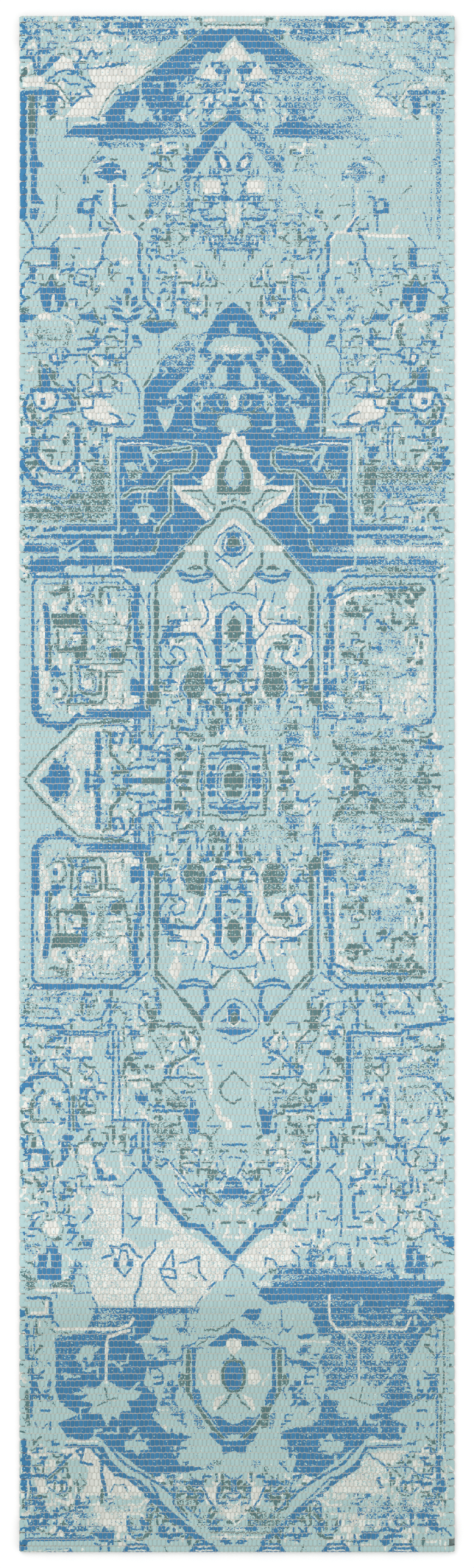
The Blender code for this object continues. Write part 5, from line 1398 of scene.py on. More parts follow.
def draw_near_sides(p, left, right):
    """Flowers, blocks and brackets near the selvedges above the near field."""
    p.line(TEAL, 0.3, 0.7, (27.4, 190.8), (27.6, 192.4), (28.8, 193), (30.2, 192.6), (31, 191), (30.4, 190),
           (28.8, 189.8))
    p.fill(WHITE, 0.8, (30.4, 190.8), (29.6, 190.1), (28.4, 190.2), (27.8, 191.4), (28.4, 192.6),
           (29.8, 192.6))
    right.block(AQUA, 1, (29.4, 191.2), (28.8, 192))
    left.line(BLUE, 0.35, 0.8, (32.6, 190), (32, 188.8), (30.4, 188.6))
    left.line(BLUE, 0.3, 0.7, (28.6, 186.2), (28.4, 188.6))
    left.line(BLUE, 0.35, 0.8, (27.2, 187.6), (27.4, 189), (25.4, 189.6))
    left.line(BLUE, 0.4, 1, (27, 190.8), (25.4, 190.7), (26.6, 191.9), (25, 192), (26.8, 193.8))
    left.fill(BLUE, 1, (24.6, 193.1), (22.4, 192.9), (23, 194), (24.2, 194.1))
    left.line(BLUE, 0.35, 1, (26, 194.6), (23.2, 194.4), (23, 193.8))
    left.fill(BLUE, 1, (30.1, 194), (28.2, 194), (28.2, 195.2), (27.6, 195.4), (27.6, 199.4), (31.4, 199.4),
              (31.4, 195.4), (30.1, 195.2))
    left.fill(AQUA, 1, (29.9, 195), (29.4, 195), (29.2, 197.6), (29.9, 197.6))
    left.line(BLUE, 0.35, 0.7, (33.6, 193), (33, 194.4), (31.8, 193.8), (31, 194))
    p.dust(BLUE, 0.4, 32.6, 194.6, 1.4, 1.4)
    left.line(TEAL, 0.3, 0.6, (34.2, 193.2), (31, 194.6))
    left.line(WHITE, 0.35, 0.9, (27, 195.4), (26, 196.8))
    left.fill(TEAL, 0.65, (33.4, 198.8), (31.2, 199.2), (32.4, 201), (33.2, 201.2))
    left.fill(TEAL, 0.7, (29.4, 200), (26.6, 199.2), (25.6, 199.4), (25.8, 201), (29, 200.8))
    left.line(WHITE, 0.5, 0.85, (31.6, 201), (26.2, 201.1))
    p.dust(TEAL, 0.5, 33.4, 198.4, 1.2, 0.8)
    left.line(BLUE, 0.3, 0.9, (26.1, 200), (26, 198.6), (23.8, 198.6), (23.4, 200.4), (22.6, 201.4),
              (25.6, 201.7), (25.6, 200.2))
    left.fill(AQUA, 1, (25.6, 199), (24, 199), (23.6, 200.6), (23.4, 201.2), (25.2, 201.2))
    left.line(WHITE, 0.4, 0.8, (23, 200.4), (22.4, 202.4), (22, 203.6))
    left.line(BLUE, 0.3, 0.9, (22.8, 202), (22, 203.4), (22, 204.6))
    left.line(BLUE, 0.4, 1, (33, 202.3), (29.4, 202.3), (29.4, 205.2), (33, 205.3))
    left.line(WHITE, 0.5, 0.95, (30, 202.9), (30, 204.6), (32.4, 204.7))
    left.fill(BLUE, 0.9, (34.2, 204), (33.4, 204.2), (33.4, 205.2), (34.2, 205.4))
    left.line(BLUE, 0.35, 0.9, (29.4, 205.2), (28.4, 206.4), (27.6, 208))
    left.line(TEAL, 0.4, 0.6, (30.4, 205.8), (29, 207.6), (26.2, 208))
    left.line(BLUE, 0.45, 0.9, (33.1, 206.4), (33.1, 211.8), (31.6, 211.9))
    left.line(BLUE, 0.3, 0.9, (32, 206.6), (32, 211.4))
    left.line(BLUE, 0.5, 0.85, (32.3, 213.4), (32.1, 217.6))
    p.dust(BLUE, 0.4, 31.6, 212.6, 1, 0.6)
    # right-hand side
    right.line(BLUE, 0.35, 0.95, (17.4, 186.2), (17.4, 192.6))
    right.line(WHITE, 0.25, 0.7, (17, 186.2), (17, 192))
    right.line(BLUE, 0.35, 0.8, (15.2, 189.6), (16, 190.2), (17, 189.2), (16.6, 190.8))
    right.line(BLUE, 0.3, 0.8, (12.1, 187.4), (12.1, 190.8))
    right.line(BLUE, 0.3, 0.8, (12.6, 193), (12.6, 195.6))
    right.line(BLUE, 0.35, 0.8, (27.8, 187), (29, 187.8), (31.4, 188.6), (32.4, 190))
    right.fill(WHITE, 0.8, (27.6, 186.6), (29, 186.6), (28.8, 188.4), (27.6, 188.6))
    right.line(BLUE, 0.35, 0.8, (24.4, 191.8), (25.4, 191.4), (26.4, 192))
    right.line(BLUE, 0.4, 1, (22, 192.9), (25, 192.8))
    right.line(WHITE, 0.5, 0.7, (21, 190.6), (22, 193.4), (22.8, 195.6))
    right.line(WHITE, 0.35, 0.7, (21, 190), (24, 187.8))
    right.line(BLUE, 0.4, 0.7, (22.6, 193.6), (25, 194), (26.2, 193.6))
    right.fill(BLUE, 0.85, (27.8, 194), (29, 194), (29.2, 195), (30.6, 195.4), (30.6, 198.4), (27.4, 198.4),
               (27.6, 195))
    right.line(AQUA, 0.35, 1, (29, 195), (29, 197))
    right.line(WHITE, 0.4, 0.7, (27.2, 193.4), (27.1, 196))
    right.line(BLUE, 0.4, 0.8, (30.8, 191.8), (32, 191.4), (32.6, 193), (34, 194))
    right.fill(BLUE, 0.9, (33.4, 192.4), (35.2, 192.6), (35.2, 194.8), (34, 194.2))
    right.line(TEAL, 0.4, 0.6, (32, 193.8), (33.6, 195), (35.2, 195.4))
    right.line(BLUE, 0.35, 0.9, (5.4, 197.4), (5.6, 196), (6.8, 196.4), (7.4, 197.6), (8.6, 197.4))
    right.line(BLUE, 0.35, 0.9, (9.8, 194.8), (10.8, 195.8), (10.8, 198), (9.8, 197))
    right.fill(TEAL, 0.6, (6, 197.6), (7.4, 197.6), (7.2, 198.6), (5.8, 198.4))
    right.line(BLUE, 0.35, 1, (4.6, 199.4), (5.6, 198.4))
    right.line(BLUE, 0.4, 0.7, (13, 194.6), (14, 195.8), (15.4, 194.2), (16.6, 193.6), (18.6, 193.8),
               (19, 195.6))
    right.fill(WHITE, 0.7, (16.8, 194.2), (18, 194.2), (18.2, 195.6), (16.8, 195.6))
    right.line(BLUE, 0.4, 0.9, (16.6, 195.4), (16.4, 197.6))
    right.line(BLUE, 0.4, 0.9, (18.6, 195.2), (18.8, 197.4))
    right.line(BLUE, 0.3, 0.45, (34.2, 205.8), (34.2, 217.4))
    right.line(TEAL, 0.35, 0.7, (33.6, 205.6), (33.6, 217.4))
    right.line(BLUE, 0.35, 0.7, (32.4, 206), (32.4, 217.4))
    right.line(BLUE, 0.3, 0.6, (31, 211.6), (34, 211.6))


def draw_near_leaves(p, left, right):
    """The big blue leaf clusters at the foot of the near field."""
    left.line(WHITE, 0.3, 1, (26.8, 224.8), (21.8, 224.8))
    left.line(WHITE, 0.3, 1, (10.8, 225.7), (9, 225.7))
    left.line(WHITE, 0.25, 0.9, (12.6, 219.9), (10.8, 219.9))
    right.line(WHITE, 0.3, 0.6, (10.8, 220), (13.4, 221.6))
    left.fill(WHITE, 0.8, (12.4, 222.2), (11.2, 222.2), (11, 223.2))
    p.dust(BLUE, 0.5, 9.2, 220.4, 1.6, 0.8)
    p.dust(BLUE, 0.6, -8.6, 223.6, 2, 1)
    p.dust(BLUE, 0.55, -11.4, 226.4, 3, 1.4)
    p.dust(TEAL, 0.35, -10, 224.6, 3, 1.6)
    p.dust(BLUE, 0.35, -11.6, 218.6, 2, 1)
    # side lines
    left.line(TEAL, 0.7, 0.75, (33.2, 217), (32.8, 222.4))
    left.line(BLUE, 0.3, 0.8, (32.4, 217), (32.3, 221))
    left.line(BLUE, 0.8, 0.95, (33.6, 224.8), (33.4, 229.4))
    right.line(BLUE, 0.35, 0.7, (32.6, 217), (32.4, 230.4))
    right.line(BLUE, 0.4, 0.6, (33.8, 218), (33.6, 229))
    right.line(TEAL, 0.35, 0.7, (33.2, 217.4), (33, 226))


def draw_near_beds(p, left, right):
    """The blue field below the near star, and the aqua stars and leaves in it."""
    left.fill(BLUE, 1, (21.5, 208), (16.2, 209.3), (14.8, 210.5), (14.1, 212.9), (14.8, 215.8),
              (12.4, 218.2), (13.4, 221), (11, 223.5), (7.1, 224.2), (10.5, 225.9), (9, 228.7),
              (4.7, 229.2), (8.5, 229.9), (17.7, 230.2), (21, 226.8), (21.5, 225.4), (26.8, 224.2),
              (28.2, 222), (24.9, 220.6), (27.8, 219.1), (28.7, 216.3), (27, 213.4))
    left.fill(BLUE, 0.74, (22, 203.6), (22, 208), (21, 213.6), (28.2, 212.6), (28.7, 208.6), (24, 207.8))
    right.fill(BLUE, 0.76, (13.6, 203.3), (12.9, 206.2), (15.7, 209.3), (14.1, 211.9), (15, 216),
               (14.6, 218.2), (13.6, 222), (7.8, 223.5), (10.7, 226.8), (9.7, 229.7), (15.5, 231.1),
               (17.9, 230.2), (20.8, 227.8), (21.8, 225.4), (26.6, 224.9), (28, 222.5), (25.1, 221),
               (29, 218.7), (27.5, 213.4), (28.5, 209.5), (31.8, 206.2), (31.8, 203.5))
    p.fill(AQUA, 1, (25.1, 216.4), (22.2, 216.6), (21, 215.3), (20, 215.4), (18.6, 216.4), (17, 216.8),
           (15, 217), (15.6, 218.2), (17.4, 218.6), (16.6, 220), (18.4, 220.2), (18.6, 221.6),
           (19.8, 220.8), (20.4, 222.6), (21.4, 220.6), (23.4, 220.4), (22.8, 219), (24.8, 218.4),
           (23.4, 217.6))
    p.fill(AQUA, 1, (17.8, 225), (16.4, 224.8), (15.6, 223.4), (15, 224.6), (13.8, 224.4), (14.4, 225.4),
           (13.6, 226.2), (15.2, 226.2), (15.6, 227.2), (16.4, 226.2), (17.6, 226.4))
    p.fill(AQUA, 1, (25.2, 211.4), (24.2, 209.8), (22.8, 209.8), (22.6, 212), (23.4, 212.6), (23.8, 211.4),
           (24.8, 212.4))
    p.line(TEAL, 0.3, 0.8, (20.8, 216.4), (20.4, 218.4), (18.8, 218))
    p.line(TEAL, 0.3, 0.8, (20.4, 218.6), (22, 219.2))
    left.line(WHITE, 0.45, 1, (28.6, 207.2), (18.8, 207.2), (17, 206.6), (16.2, 205.6))
    left.line(WHITE, 0.45, 1, (17, 207.4), (20.2, 208.4), (20.6, 209.6), (20.6, 215.6))
    right.line(WHITE, 0.4, 1, (15.5, 201.8), (15.6, 205.8), (16.8, 207.2), (27.6, 207.2), (28.4, 205.4))
    right.line(WHITE, 0.35, 1, (17.6, 207.4), (20.1, 209.6), (20.2, 215.4))
    p.scatter(BLUE, 50, (15, 205, 8, 229), cover=0.9)
    left.scatter(AQUA, 24, (29, 208, 15, 224))
    right.scatter(AQUA, 40, (30, 203, 13, 230))
    p.wear(0.25, -20, 212, 6, 5)
    left.fill(WHITE, 0.74, (28.2, 226.1), (21.5, 227.3), (19.6, 229.7), (15.3, 233.5), (23.9, 233.5),
              (24.6, 229))
    right.fill(WHITE, 0.6, (28.2, 226.4), (24.6, 226.2), (21.2, 227.6), (17, 233), (22, 231.6))
    left.line(BLUE, 0.35, 1, (21.3, 227.4), (21.4, 233.6))
    p.line(AQUA, 2.2, 1, (22.4, 225.2), (12.8, 232.4), (4, 239.8))
    p.line(BLUE, 0.55, 1, (26.8, 225.6), (21.4, 225.8), (20, 228.4), (13.4, 233.8), (5, 240.8))
    p.line(BLUE, 0.45, 1, (20.8, 225), (17.8, 228.4), (12, 231.8), (3.6, 239))
    p.line(WHITE, 0.3, 1, (26.8, 224.9), (22, 224.9))
    p.line(TEAL, 0.35, 0.9, (26, 226.4), (24.8, 228.4), (26.8, 230.4))


def draw_near_arch(p, left, right):
    """The arch that closes the near end, its hexagons and the white scrolls outside it."""
    left.fill(WHITE, 1, (27.8, 226.2), (24, 225.8), (22.6, 226.6), (21, 229.4), (19, 231), (16.6, 231),
              (14.8, 233.2), (21, 233.4), (24, 232.8), (24.6, 229.6), (26, 227.8))
    left.fill(AQUA, 1, (26.6, 227.6), (25.4, 227.4), (23.4, 229.4), (24, 232.4), (26.6, 230.6))
    right.fill(WHITE, 0.75, (22.2, 226.6), (26.8, 226.4), (25.8, 228.4), (22.4, 228.2))
    right.fill(WHITE, 0.7, (16.4, 231.6), (20, 230.6), (22.6, 230.8), (23.8, 233), (17, 233))
    for offset in (0.0, -1.0):
        left.line(BLUE, 0.42, 1, (22 - offset, 225.6), (21.4 - offset, 226.6), (19.4 - offset, 228.6),
                  (18.2 - offset, 230.2), (16 - offset, 230.8), (14.6 - offset, 232), (9.8 - offset, 236.6),
                  (5.4 - offset, 240.2))
    for offset in (0.0, 0.9):
        right.line(BLUE, 0.36, 0.85, (20.6 - offset, 228.6), (18.4 - offset, 230.2), (16.6 - offset, 230.7),
                   (11 - offset, 236), (6 - offset, 240.2))
    left.line(BLUE, 0.4, 1, (34.2, 230.3), (29.8, 230.4), (28.4, 229.4), (26.2, 226.9))
    right.line(BLUE, 0.35, 0.8, (21.4, 226.6), (24.6, 229), (28, 228.8), (30, 230.4), (32, 230.9),
               (35.2, 230.8))
    left.line(BLUE, 0.4, 1, (24.6, 227.2), (25.4, 226.4), (24.2, 226), (24.6, 228.2), (22.8, 228.6))
    left.line(BLUE, 0.5, 1, (21.4, 227.2), (21.2, 231), (20.6, 233.4))
    left.line(BLUE, 0.3, 0.7, (20, 233), (19.6, 231.8), (17.8, 231.8), (17.2, 233))
    left.line(TEAL, 0.45, 0.8, (29.4, 230.6), (27, 228.6), (26.4, 230.8))
    left.line(TEAL, 0.5, 0.75, (25.2, 231), (25, 233.4), (25.8, 235), (27.4, 234.8))
    p.line(TEAL, 0.4, 0.75, (28.6, 231.4), (28.8, 233), (27.4, 233.6), (26.2, 232.6), (26.4, 231.2),
           (27.4, 230.6))
    p.line(BLUE, 0.35, 0.75, (27.6, 231), (26.8, 231.4), (27, 232.8), (28.4, 233.2), (29.6, 232.2))
    p.fill(WHITE, 0.85, (26.8, 230.8), (26, 230.7), (25.8, 232), (26.6, 232))
    left.fill(WHITE, 0.9, (32, 230.9), (30.2, 230.9), (30, 233), (31.2, 233.2))
    left.line(WHITE, 0.6, 1, (28.6, 234), (26.6, 234.8), (26, 234.2))
    left.line(WHITE, 0.4, 0.8, (32.8, 231), (33, 233.6))
    left.line(TEAL, 0.45, 0.6, (24.8, 230), (23.8, 231.6), (25, 232.8))
    left.line(BLUE, 0.35, 0.9, (25.2, 233.4), (25.4, 235.6), (28, 236.6), (31.6, 236.9), (34.2, 236.9))
    p.line(BLUE, 0.35, 0.8, (32.6, 231), (32.2, 234), (31.6, 235.6))
    left.line(BLUE, 0.35, 0.9, (33.4, 231), (33.3, 235.6))
    left.block(TEAL, 0.85, (21.5, 232.4), (21, 234.8))
    # hexagons and blocks
    left.line(TEAL, 0.45, 0.8, (10.6, 231), (9.4, 233), (9.2, 235), (8, 236.4))
    left.line(TEAL, 0.4, 0.8, (8, 231.2), (6.6, 233), (6.2, 234.6), (6.8, 236.2))
    left.fill(TEAL, 0.45, (9.6, 234), (6.6, 234), (7.2, 235.2), (9, 235.2))
    right.line(TEAL, 0.4, 0.8, (6.4, 230.4), (8, 231.4), (9, 233), (9, 235.2), (7.6, 236))
    right.line(TEAL, 0.35, 0.7, (6.4, 231.8), (6.2, 234), (7, 235))
    left.line(BLUE, 0.4, 0.9, (9.8, 231.4), (10, 234.6), (9, 236), (7.8, 237.2))
    left.line(BLUE, 0.35, 1, (13.6, 231.4), (12.6, 233), (12.4, 234.4), (11.4, 235.6))
    p.fill(WHITE, 0.9, (5.2, 232.1), (3.2, 232.1), (3.2, 235.2), (4.6, 235), (5.2, 233.6))
    p.line(BLUE, 0.35, 0.85, (5.4, 232), (4.6, 233.8), (3.4, 235.6))
    p.line(BLUE, 0.35, 0.8, (3, 231.8), (3.1, 234.2))
    left.line(TEAL, 0.5, 0.9, (2.3, 229.9), (2.3, 231.4))
    p.line(BLUE, 0.3, 0.9, (1.9, 230.2), (0.5, 231.4))
    p.dust(BLUE, 0.6, 4, 228.8, 0.8, 0.6)
    p.dust(TEAL, 0.55, 3, 228.2, 0.8, 0.6)
    p.dust(BLUE, 0.55, -3, 228.4, 0.8, 0.7)
    p.dust(TEAL, 0.55, -4.6, 229.6, 0.6, 0.8)
    p.dust(WHITE, 0.85, 0.8, 235.8, 2, 1.2)
    p.dust(BLUE, 0.35, 2.2, 235, 1.6, 1)
    left.fill(WHITE, 0.95, (2.6, 235.2), (0.8, 236), (0.2, 238), (1.6, 236.8))
    right.line(WHITE, 0.4, 0.8, (2.2, 237), (0.5, 238.2))
    p.dust(TEAL, 0.62, -4.6, 237.2, 3, 1.6)
    p.dust(TEAL, 0.5, 5.2, 237.6, 1.6, 1.2)
    p.dust(BLUE, 0.4, 1, 238.6, 3, 0.5)
    left.line(TEAL, 0.4, 0.75, (4.2, 239.2), (-5.2, 239.3))
    left.line(WHITE, 0.3, 0.9, (4, 239.9), (-4.4, 239.9))
    p.line(BLUE, 0.4, 0.7, (9.8, 231.6), (8.6, 230.9), (8.8, 232.2), (7, 230.8))
    p.dust(WHITE, 0.6, 9.2, 231.8, 0.7, 0.5)
    # the speckled ground between the arch and the corners
    p.dust(WHITE, 0.75, 20.6, 237, 3.6, 1.5)
    p.dust(WHITE, 0.4, 16.4, 235.6, 2.6, 1.4)
    p.dust(WHITE, 0.6, -20.4, 237, 4, 1.6)
    p.dust(WHITE, 0.5, -28, 234.8, 3.6, 1)
    p.dust(BLUE, 0.4, -24, 236, 6, 2)
    p.dust(BLUE, 0.35, 24.6, 236.6, 2, 1.4)
    p.dust(TEAL, 0.3, -23, 234.6, 3, 1)
    p.dust(WHITE, 0.35, -14.6, 233.8, 3, 2)
    left.line(BLUE, 0.4, 0.6, (26.8, 237.4), (25.4, 238.6), (23, 238.2))
    left.line(BLUE, 0.35, 0.9, (17.1, 236.8), (17, 239.4), (16.2, 240.2))
    left.fill(BLUE, 1, (22.8, 238.8), (21.4, 239.2), (21, 238), (20.2, 239), (19.4, 238.8), (19.4, 240.2),
              (22, 240.4))
    left.block(BLUE, 1, (12.4, 238), (11.4, 239.4))
    left.line(TEAL, 0.4, 0.75, (13.6, 236.4), (13.6, 239.2))
    right.fill(BLUE, 0.9, (20.6, 239), (23.6, 239), (23, 240.4), (21.2, 240.4))
    right.line(TEAL, 0.5, 0.6, (15.2, 236), (15, 239))
    right.line(BLUE, 0.4, 0.9, (13, 238.2), (13.6, 238.8))
    left.fill(BLUE, 0.9, (29.2, 240), (28, 238.2), (26.6, 238.4), (26.4, 240))
    left.fill(WHITE, 0.9, (28.4, 239.8), (27.9, 238.8), (27.2, 239.2), (27.2, 240))
    left.line(BLUE, 0.35, 0.9, (33.2, 237), (31.8, 240))
    left.line(TEAL, 0.4, 0.7, (31.4, 238.6), (29, 239.8))
    left.line(BLUE, 0.35, 0.8, (30, 238.6), (30.6, 237.8), (29, 236.8))


def draw_near_caps(p, left, right):
    """Trapezoid caps along the near end, cut by the turn of the hem, and the corner blocks."""
    for middle in (-28.2, -15.8, -5.2, 5.4, 15.6, 26.2):
        left.fill(BLUE, 0.95, (-middle + 2.6, 242.6), (-middle + 1.4, 240.9), (-middle - 1.4, 240.9),
                  (-middle - 2.6, 242.6))
        left.line(WHITE, 0.28, 0.9, (-middle + 1, 241.4), (-middle - 1, 241.4))
        left.line(WHITE, 0.28, 0.9, (-middle + 1.3, 242.1), (-middle - 1.3, 242.1))
    left.fill(BLUE, 1, (34.3, 240.4), (33, 240.4), (33, 242), (34.3, 242.4))
    left.fill(AQUA, 1, (33, 239.8), (22, 239.8), (22, 241.6), (33, 241.8))
    left.line(BLUE, 0.6, 1, (33.2, 240.3), (22.6, 240.2))
    left.line(BLUE, 0.35, 0.8, (22.4, 240.8), (21.4, 241.4), (21.6, 242.2))
    p.line(TEAL, 0.4, 0.7, (11.4, 241.4), (11, 242.4))
    left.line(WHITE, 0.4, 0.5, (33.4, 242.3), (26.6, 242))
    right.line(WHITE, 0.4, 0.5, (33.4, 226), (34.2, 233))


DRAWING = (
    draw_fragments, draw_lower_fragments, draw_far_roof, draw_far_corners, draw_side_frames,
    draw_far_pendant, draw_small_flowers, draw_far_lobes, draw_palmettes, draw_bottles, draw_dome,
    draw_antlers, draw_palm_star, draw_shoulder_bands, draw_panel_frames, draw_fretwork, draw_right_panel,
    draw_pendants, draw_scrolls, draw_rosette, draw_mirror, draw_lower_crown, draw_step_frames,
    draw_lower_rings, draw_hat_flower, draw_near_star, draw_near_field, draw_near_sides, draw_near_leaves,
    draw_near_beds, draw_near_arch, draw_near_caps,
)

PRINT = Print()
for draw in DRAWING:
    draw(PRINT, PRINT.on(LEFT), PRINT.on(RIGHT))


# ---------------------------------------------------------------- the weave

# Where the colour starts to be made darker towards the near end, in centimetres from the far end
DARKER_FROM, DARKER_TO = 197.0, 207.0
# How far, in centimetres, the print's edges wander from float to float
RAGGED = 0.13
# Waves that rows wander by, and how many columns and rows one spans
WAVES, WAVE_SPAN, WAVE_COLUMNS, WAVE_ROWS = 9, 18, 1.6, 1.4
JITTER_COLUMNS = 256
# A float's outline: its half length in picks, and how square its sides and tips are
FLOAT_REACH, SIDE_POWER, TIP_POWER = 0.66, 2.6, 3.0
# The cloth grows thin over the outermost half column
EDGE_COLUMNS, EDGE_THICKNESS = 0.5, 0.35
# Ends and edges of the weave that stay straight, in rows and columns
STILL_ROWS, STILL_COLUMNS = 4, 2
# Mesh points for each column, and for each row of the face and of the back
ACROSS, FACE_ALONG, BACK_ALONG = 4, 6, 3
BACK_RISE, HEM_DIP = 0.9, 0.8
# The weft: its mesh, and how the straights lie flatter and lower inside the cloth than the turns
TURN_STEPS, YARN_SIDES, PLIES, PLY_DEPTH = 12, 14, 3, 0.04
TURN_SHARE, TURN_FULLNESS = 0.6, 0.6
TAIL = 0.02
TURN_DEPTH, SQUARENESS = 0.0100, 7
BURIED_HEIGHT, BURIED_DEPTH = 0.4, 0.0003
NOSE_STEPS, ALLOWANCE, CORNER = 12, 0.0040, 0.0060
THREAD, THREAD_DEPTH, STITCH_SHARE = 0.0004, 0.0008, 0.47
CREASE_ROW, CREASE_REACH, CREASE_DEPTH = 2.65, 0.3, 0.0008
QUARTERS = (1, 2, 3, 4)


def smoothed(share):
    """0 to 1 with a soft start and end."""
    share = np.clip(share, 0, 1)
    return share * share * (3 - 2 * share)


def smooth_field(columns, rows, seed, coarse):
    """A wandering value for each place in the cloth, from a few random waves no shorter than coarse."""
    rng = np.random.default_rng(seed)
    total = np.zeros(np.broadcast(columns, rows).shape)
    for _ in range(WAVES):
        length = coarse * rng.uniform(1.0, 4.0)
        angle = rng.uniform(0, math.tau)
        phase = rng.uniform(0, math.tau)
        along = columns * math.cos(angle) + rows * math.sin(angle)
        total = total + np.sin(along * math.tau / length + phase)
    return total / WAVES


def cell_jitter(columns, rows, seed):
    """A value that changes from float to float and runs smoothly between them."""
    rng = np.random.default_rng(seed)
    table = rng.uniform(-1, 1, (PICKS + 4, JITTER_COLUMNS))
    c, r = columns * 2 + 8, rows + 1
    ic, ir = np.floor(c).astype(int), np.floor(r).astype(int)
    sc, sr = c - ic, r - ir
    first = table[ir, ic] * (1 - sc) + table[ir, ic + 1] * sc
    second = table[ir + 1, ic] * (1 - sc) + table[ir + 1, ic + 1] * sc
    return first * (1 - sr) + second * sr


def relief(columns, rows):
    """The height of the floats above the gaps, from 0 to 1, at a column and row of the weave."""
    row = np.floor(rows)
    best = np.zeros(np.shape(columns))
    for neighbour in (-1, 0, 1):
        centre_row = row + neighbour
        offset = 0.5 * (centre_row % 2)
        across = np.abs((columns - offset) % 1.0 - 0.5) / 0.5
        along = np.abs(rows - centre_row - 0.5) / FLOAT_REACH
        outward = across ** SIDE_POWER + along ** TIP_POWER
        best = np.maximum(best, np.sqrt(np.clip(1 - outward, 0, None)))
    return best


def lift(y):
    """How far the hem allowance under it raises the cloth at y."""
    return HEM_RISE * smoothed((HEM_PICKS + RAMP_PICKS - (END - np.abs(y)) / PITCH) / RAMP_PICKS)


def thinned(z, columns):
    """Heights in the cloth, drawn in towards its middle at the selvedges."""
    edge = np.clip(np.minimum(columns, cloth().columns - columns) / EDGE_COLUMNS, 0, 1)
    return THICKNESS / 2 + (z - THICKNESS / 2) * (EDGE_THICKNESS + (1 - EDGE_THICKNESS) * edge)


def crease(rows):
    """How deep the near hem's edge has printed through as a line across the face."""
    return CREASE_DEPTH * np.exp(-((rows - CREASE_ROW) / CREASE_REACH) ** 2)


def cloth():
    return bpy.context.scene.runner_cloth


def colours():
    return bpy.context.scene.runner_colours


def weave_width():
    return WIDTH - 2 * cloth().selvedge


def weave_place(columns, rows):
    """Where a column and row of the weave lie on the floor, in metres."""
    settings = cloth()
    pitch = weave_width() / settings.columns
    x = -weave_width() / 2 + columns * pitch
    y = -END + rows * PITCH
    ends = np.clip(np.minimum(rows, PICKS - rows) / STILL_ROWS, 0, 1)
    edges = np.clip(np.minimum(columns, settings.columns - columns) / STILL_COLUMNS, 0, 1)
    x = x + edges * settings.jitter * cell_jitter(columns, rows, 11)
    sway = settings.sway * smooth_field(columns / WAVE_COLUMNS, rows * WAVE_ROWS, 5, WAVE_SPAN)
    y = y + ends * (sway + settings.jitter * cell_jitter(columns, rows, 12))
    return x, y


def grid_mesh(name, across, along):
    """A flat grid whose points carry their place in it, each way from 0 to 1."""
    work = bmesh.new()
    bmesh.ops.create_grid(work, x_segments=across, y_segments=along, size=0.5)
    mesh = bpy.data.meshes.new(name)
    work.to_mesh(mesh)
    work.free()
    co = np.empty(len(mesh.vertices) * 3, np.float32)
    mesh.vertices.foreach_get("co", co)
    co = co.reshape(-1, 3)
    return mesh, co[:, 0].astype(float) + 0.5, co[:, 1].astype(float) + 0.5


def place_points(mesh, x, y, z):
    mesh.vertices.foreach_set("co", np.stack([x, y, z], 1).astype(np.float32).ravel())
    mesh.update()


def put_cell(mesh, columns, rows, up=1.0):
    """Each point's column and row in the weave, and whether the printing roller reached it."""
    data = mesh.attributes.new("cell", "FLOAT_VECTOR", "POINT").data
    data.foreach_set("vector", np.stack([columns, rows, 0 * rows + up], 1).astype(np.float32).ravel())


def put_ink(mesh, x, y):
    """The inks at each point, and in the last channel how much darker the colour is made towards the near
    end.
    """
    v = (END - y) * CM
    columns = np.clip(x / WIDTH + 0.5, 0, 1) * cloth().columns
    rows = np.clip((y + END) / PITCH, 0, PICKS)
    ragged = [RAGGED * cell_jitter(columns, rows, seed) for seed in (5, 6)]
    ink = PRINT.sample(x * CM + ragged[0], v + ragged[1])
    ink[:, 3] = smoothed((v - DARKER_FROM) / (DARKER_TO - DARKER_FROM))
    data = mesh.attributes.new("ink", "FLOAT_COLOR", "POINT").data
    data.foreach_set("color", ink.astype(np.float32).ravel())


def put_bake_map(mesh, s, t):
    """A map from above for the finish, which fills it from edge to edge."""
    corners = np.empty(len(mesh.loops), np.int32)
    mesh.loops.foreach_get("vertex_index", corners)
    layer = mesh.uv_layers.new(name="OFBake")
    layer.data.foreach_set("uv", np.stack([s[corners], t[corners]], 1).astype(np.float32).ravel())


def close_up(mesh):
    """Welds a grid that was wrapped round, fills its open ends, and turns its faces outward."""
    work = bmesh.new()
    work.from_mesh(mesh)
    bmesh.ops.remove_doubles(work, verts=work.verts, dist=1e-6)
    rims = [edge for edge in work.edges if edge.is_boundary]
    bmesh.ops.holes_fill(work, edges=rims, sides=0)
    if work.calc_volume(signed=True) < 0:
        bmesh.ops.reverse_faces(work, faces=work.faces)
    work.to_mesh(mesh)
    work.free()


def weft_path(low, high):
    """The weft's centre line over a band of picks: back and forth, with a round turn at each selvedge."""
    settings = cloth()
    reach = WIDTH / 2 - settings.yarn_width / 2
    straight = reach - settings.yarn_width * TURN_SHARE
    side = 1 if low % 2 else -1
    points = [(side * (straight - TAIL), -END + (low + 0.5) * PITCH)]
    for pick in range(low, high):
        side = -side
        middle = -END + (pick + 1) * PITCH
        points.append((side * (straight - TAIL), middle - PITCH / 2))
        for step in range(TURN_STEPS + 1):
            angle = math.pi * (step / TURN_STEPS - 0.5)
            out = abs(math.cos(angle)) ** TURN_FULLNESS
            x = side * (straight + (reach - straight) * out)
            points.append((x, middle + PITCH / 2 * math.sin(angle)))
        points.append((side * (straight - TAIL), middle + PITCH / 2))
    return np.array(points)


def finish_piece(name, mesh, material, smooth=True):
    if smooth:
        mesh.shade_smooth()
    mesh.materials.append(material)
    piece = bpy.data.objects.new(name, mesh)
    bpy.context.scene.collection.objects.link(piece)
    return piece


# Each fold's two bodies, the line it bends on, and how far the bend reaches either side
FOLDS = {
    "near": ("near_end", "near_middle", -END_FOLD, 0.006),
    "mid": ("near_middle", "far_middle", 0.0, 0.020),
    "far": ("far_middle", "far_end", END_FOLD, 0.006),
}
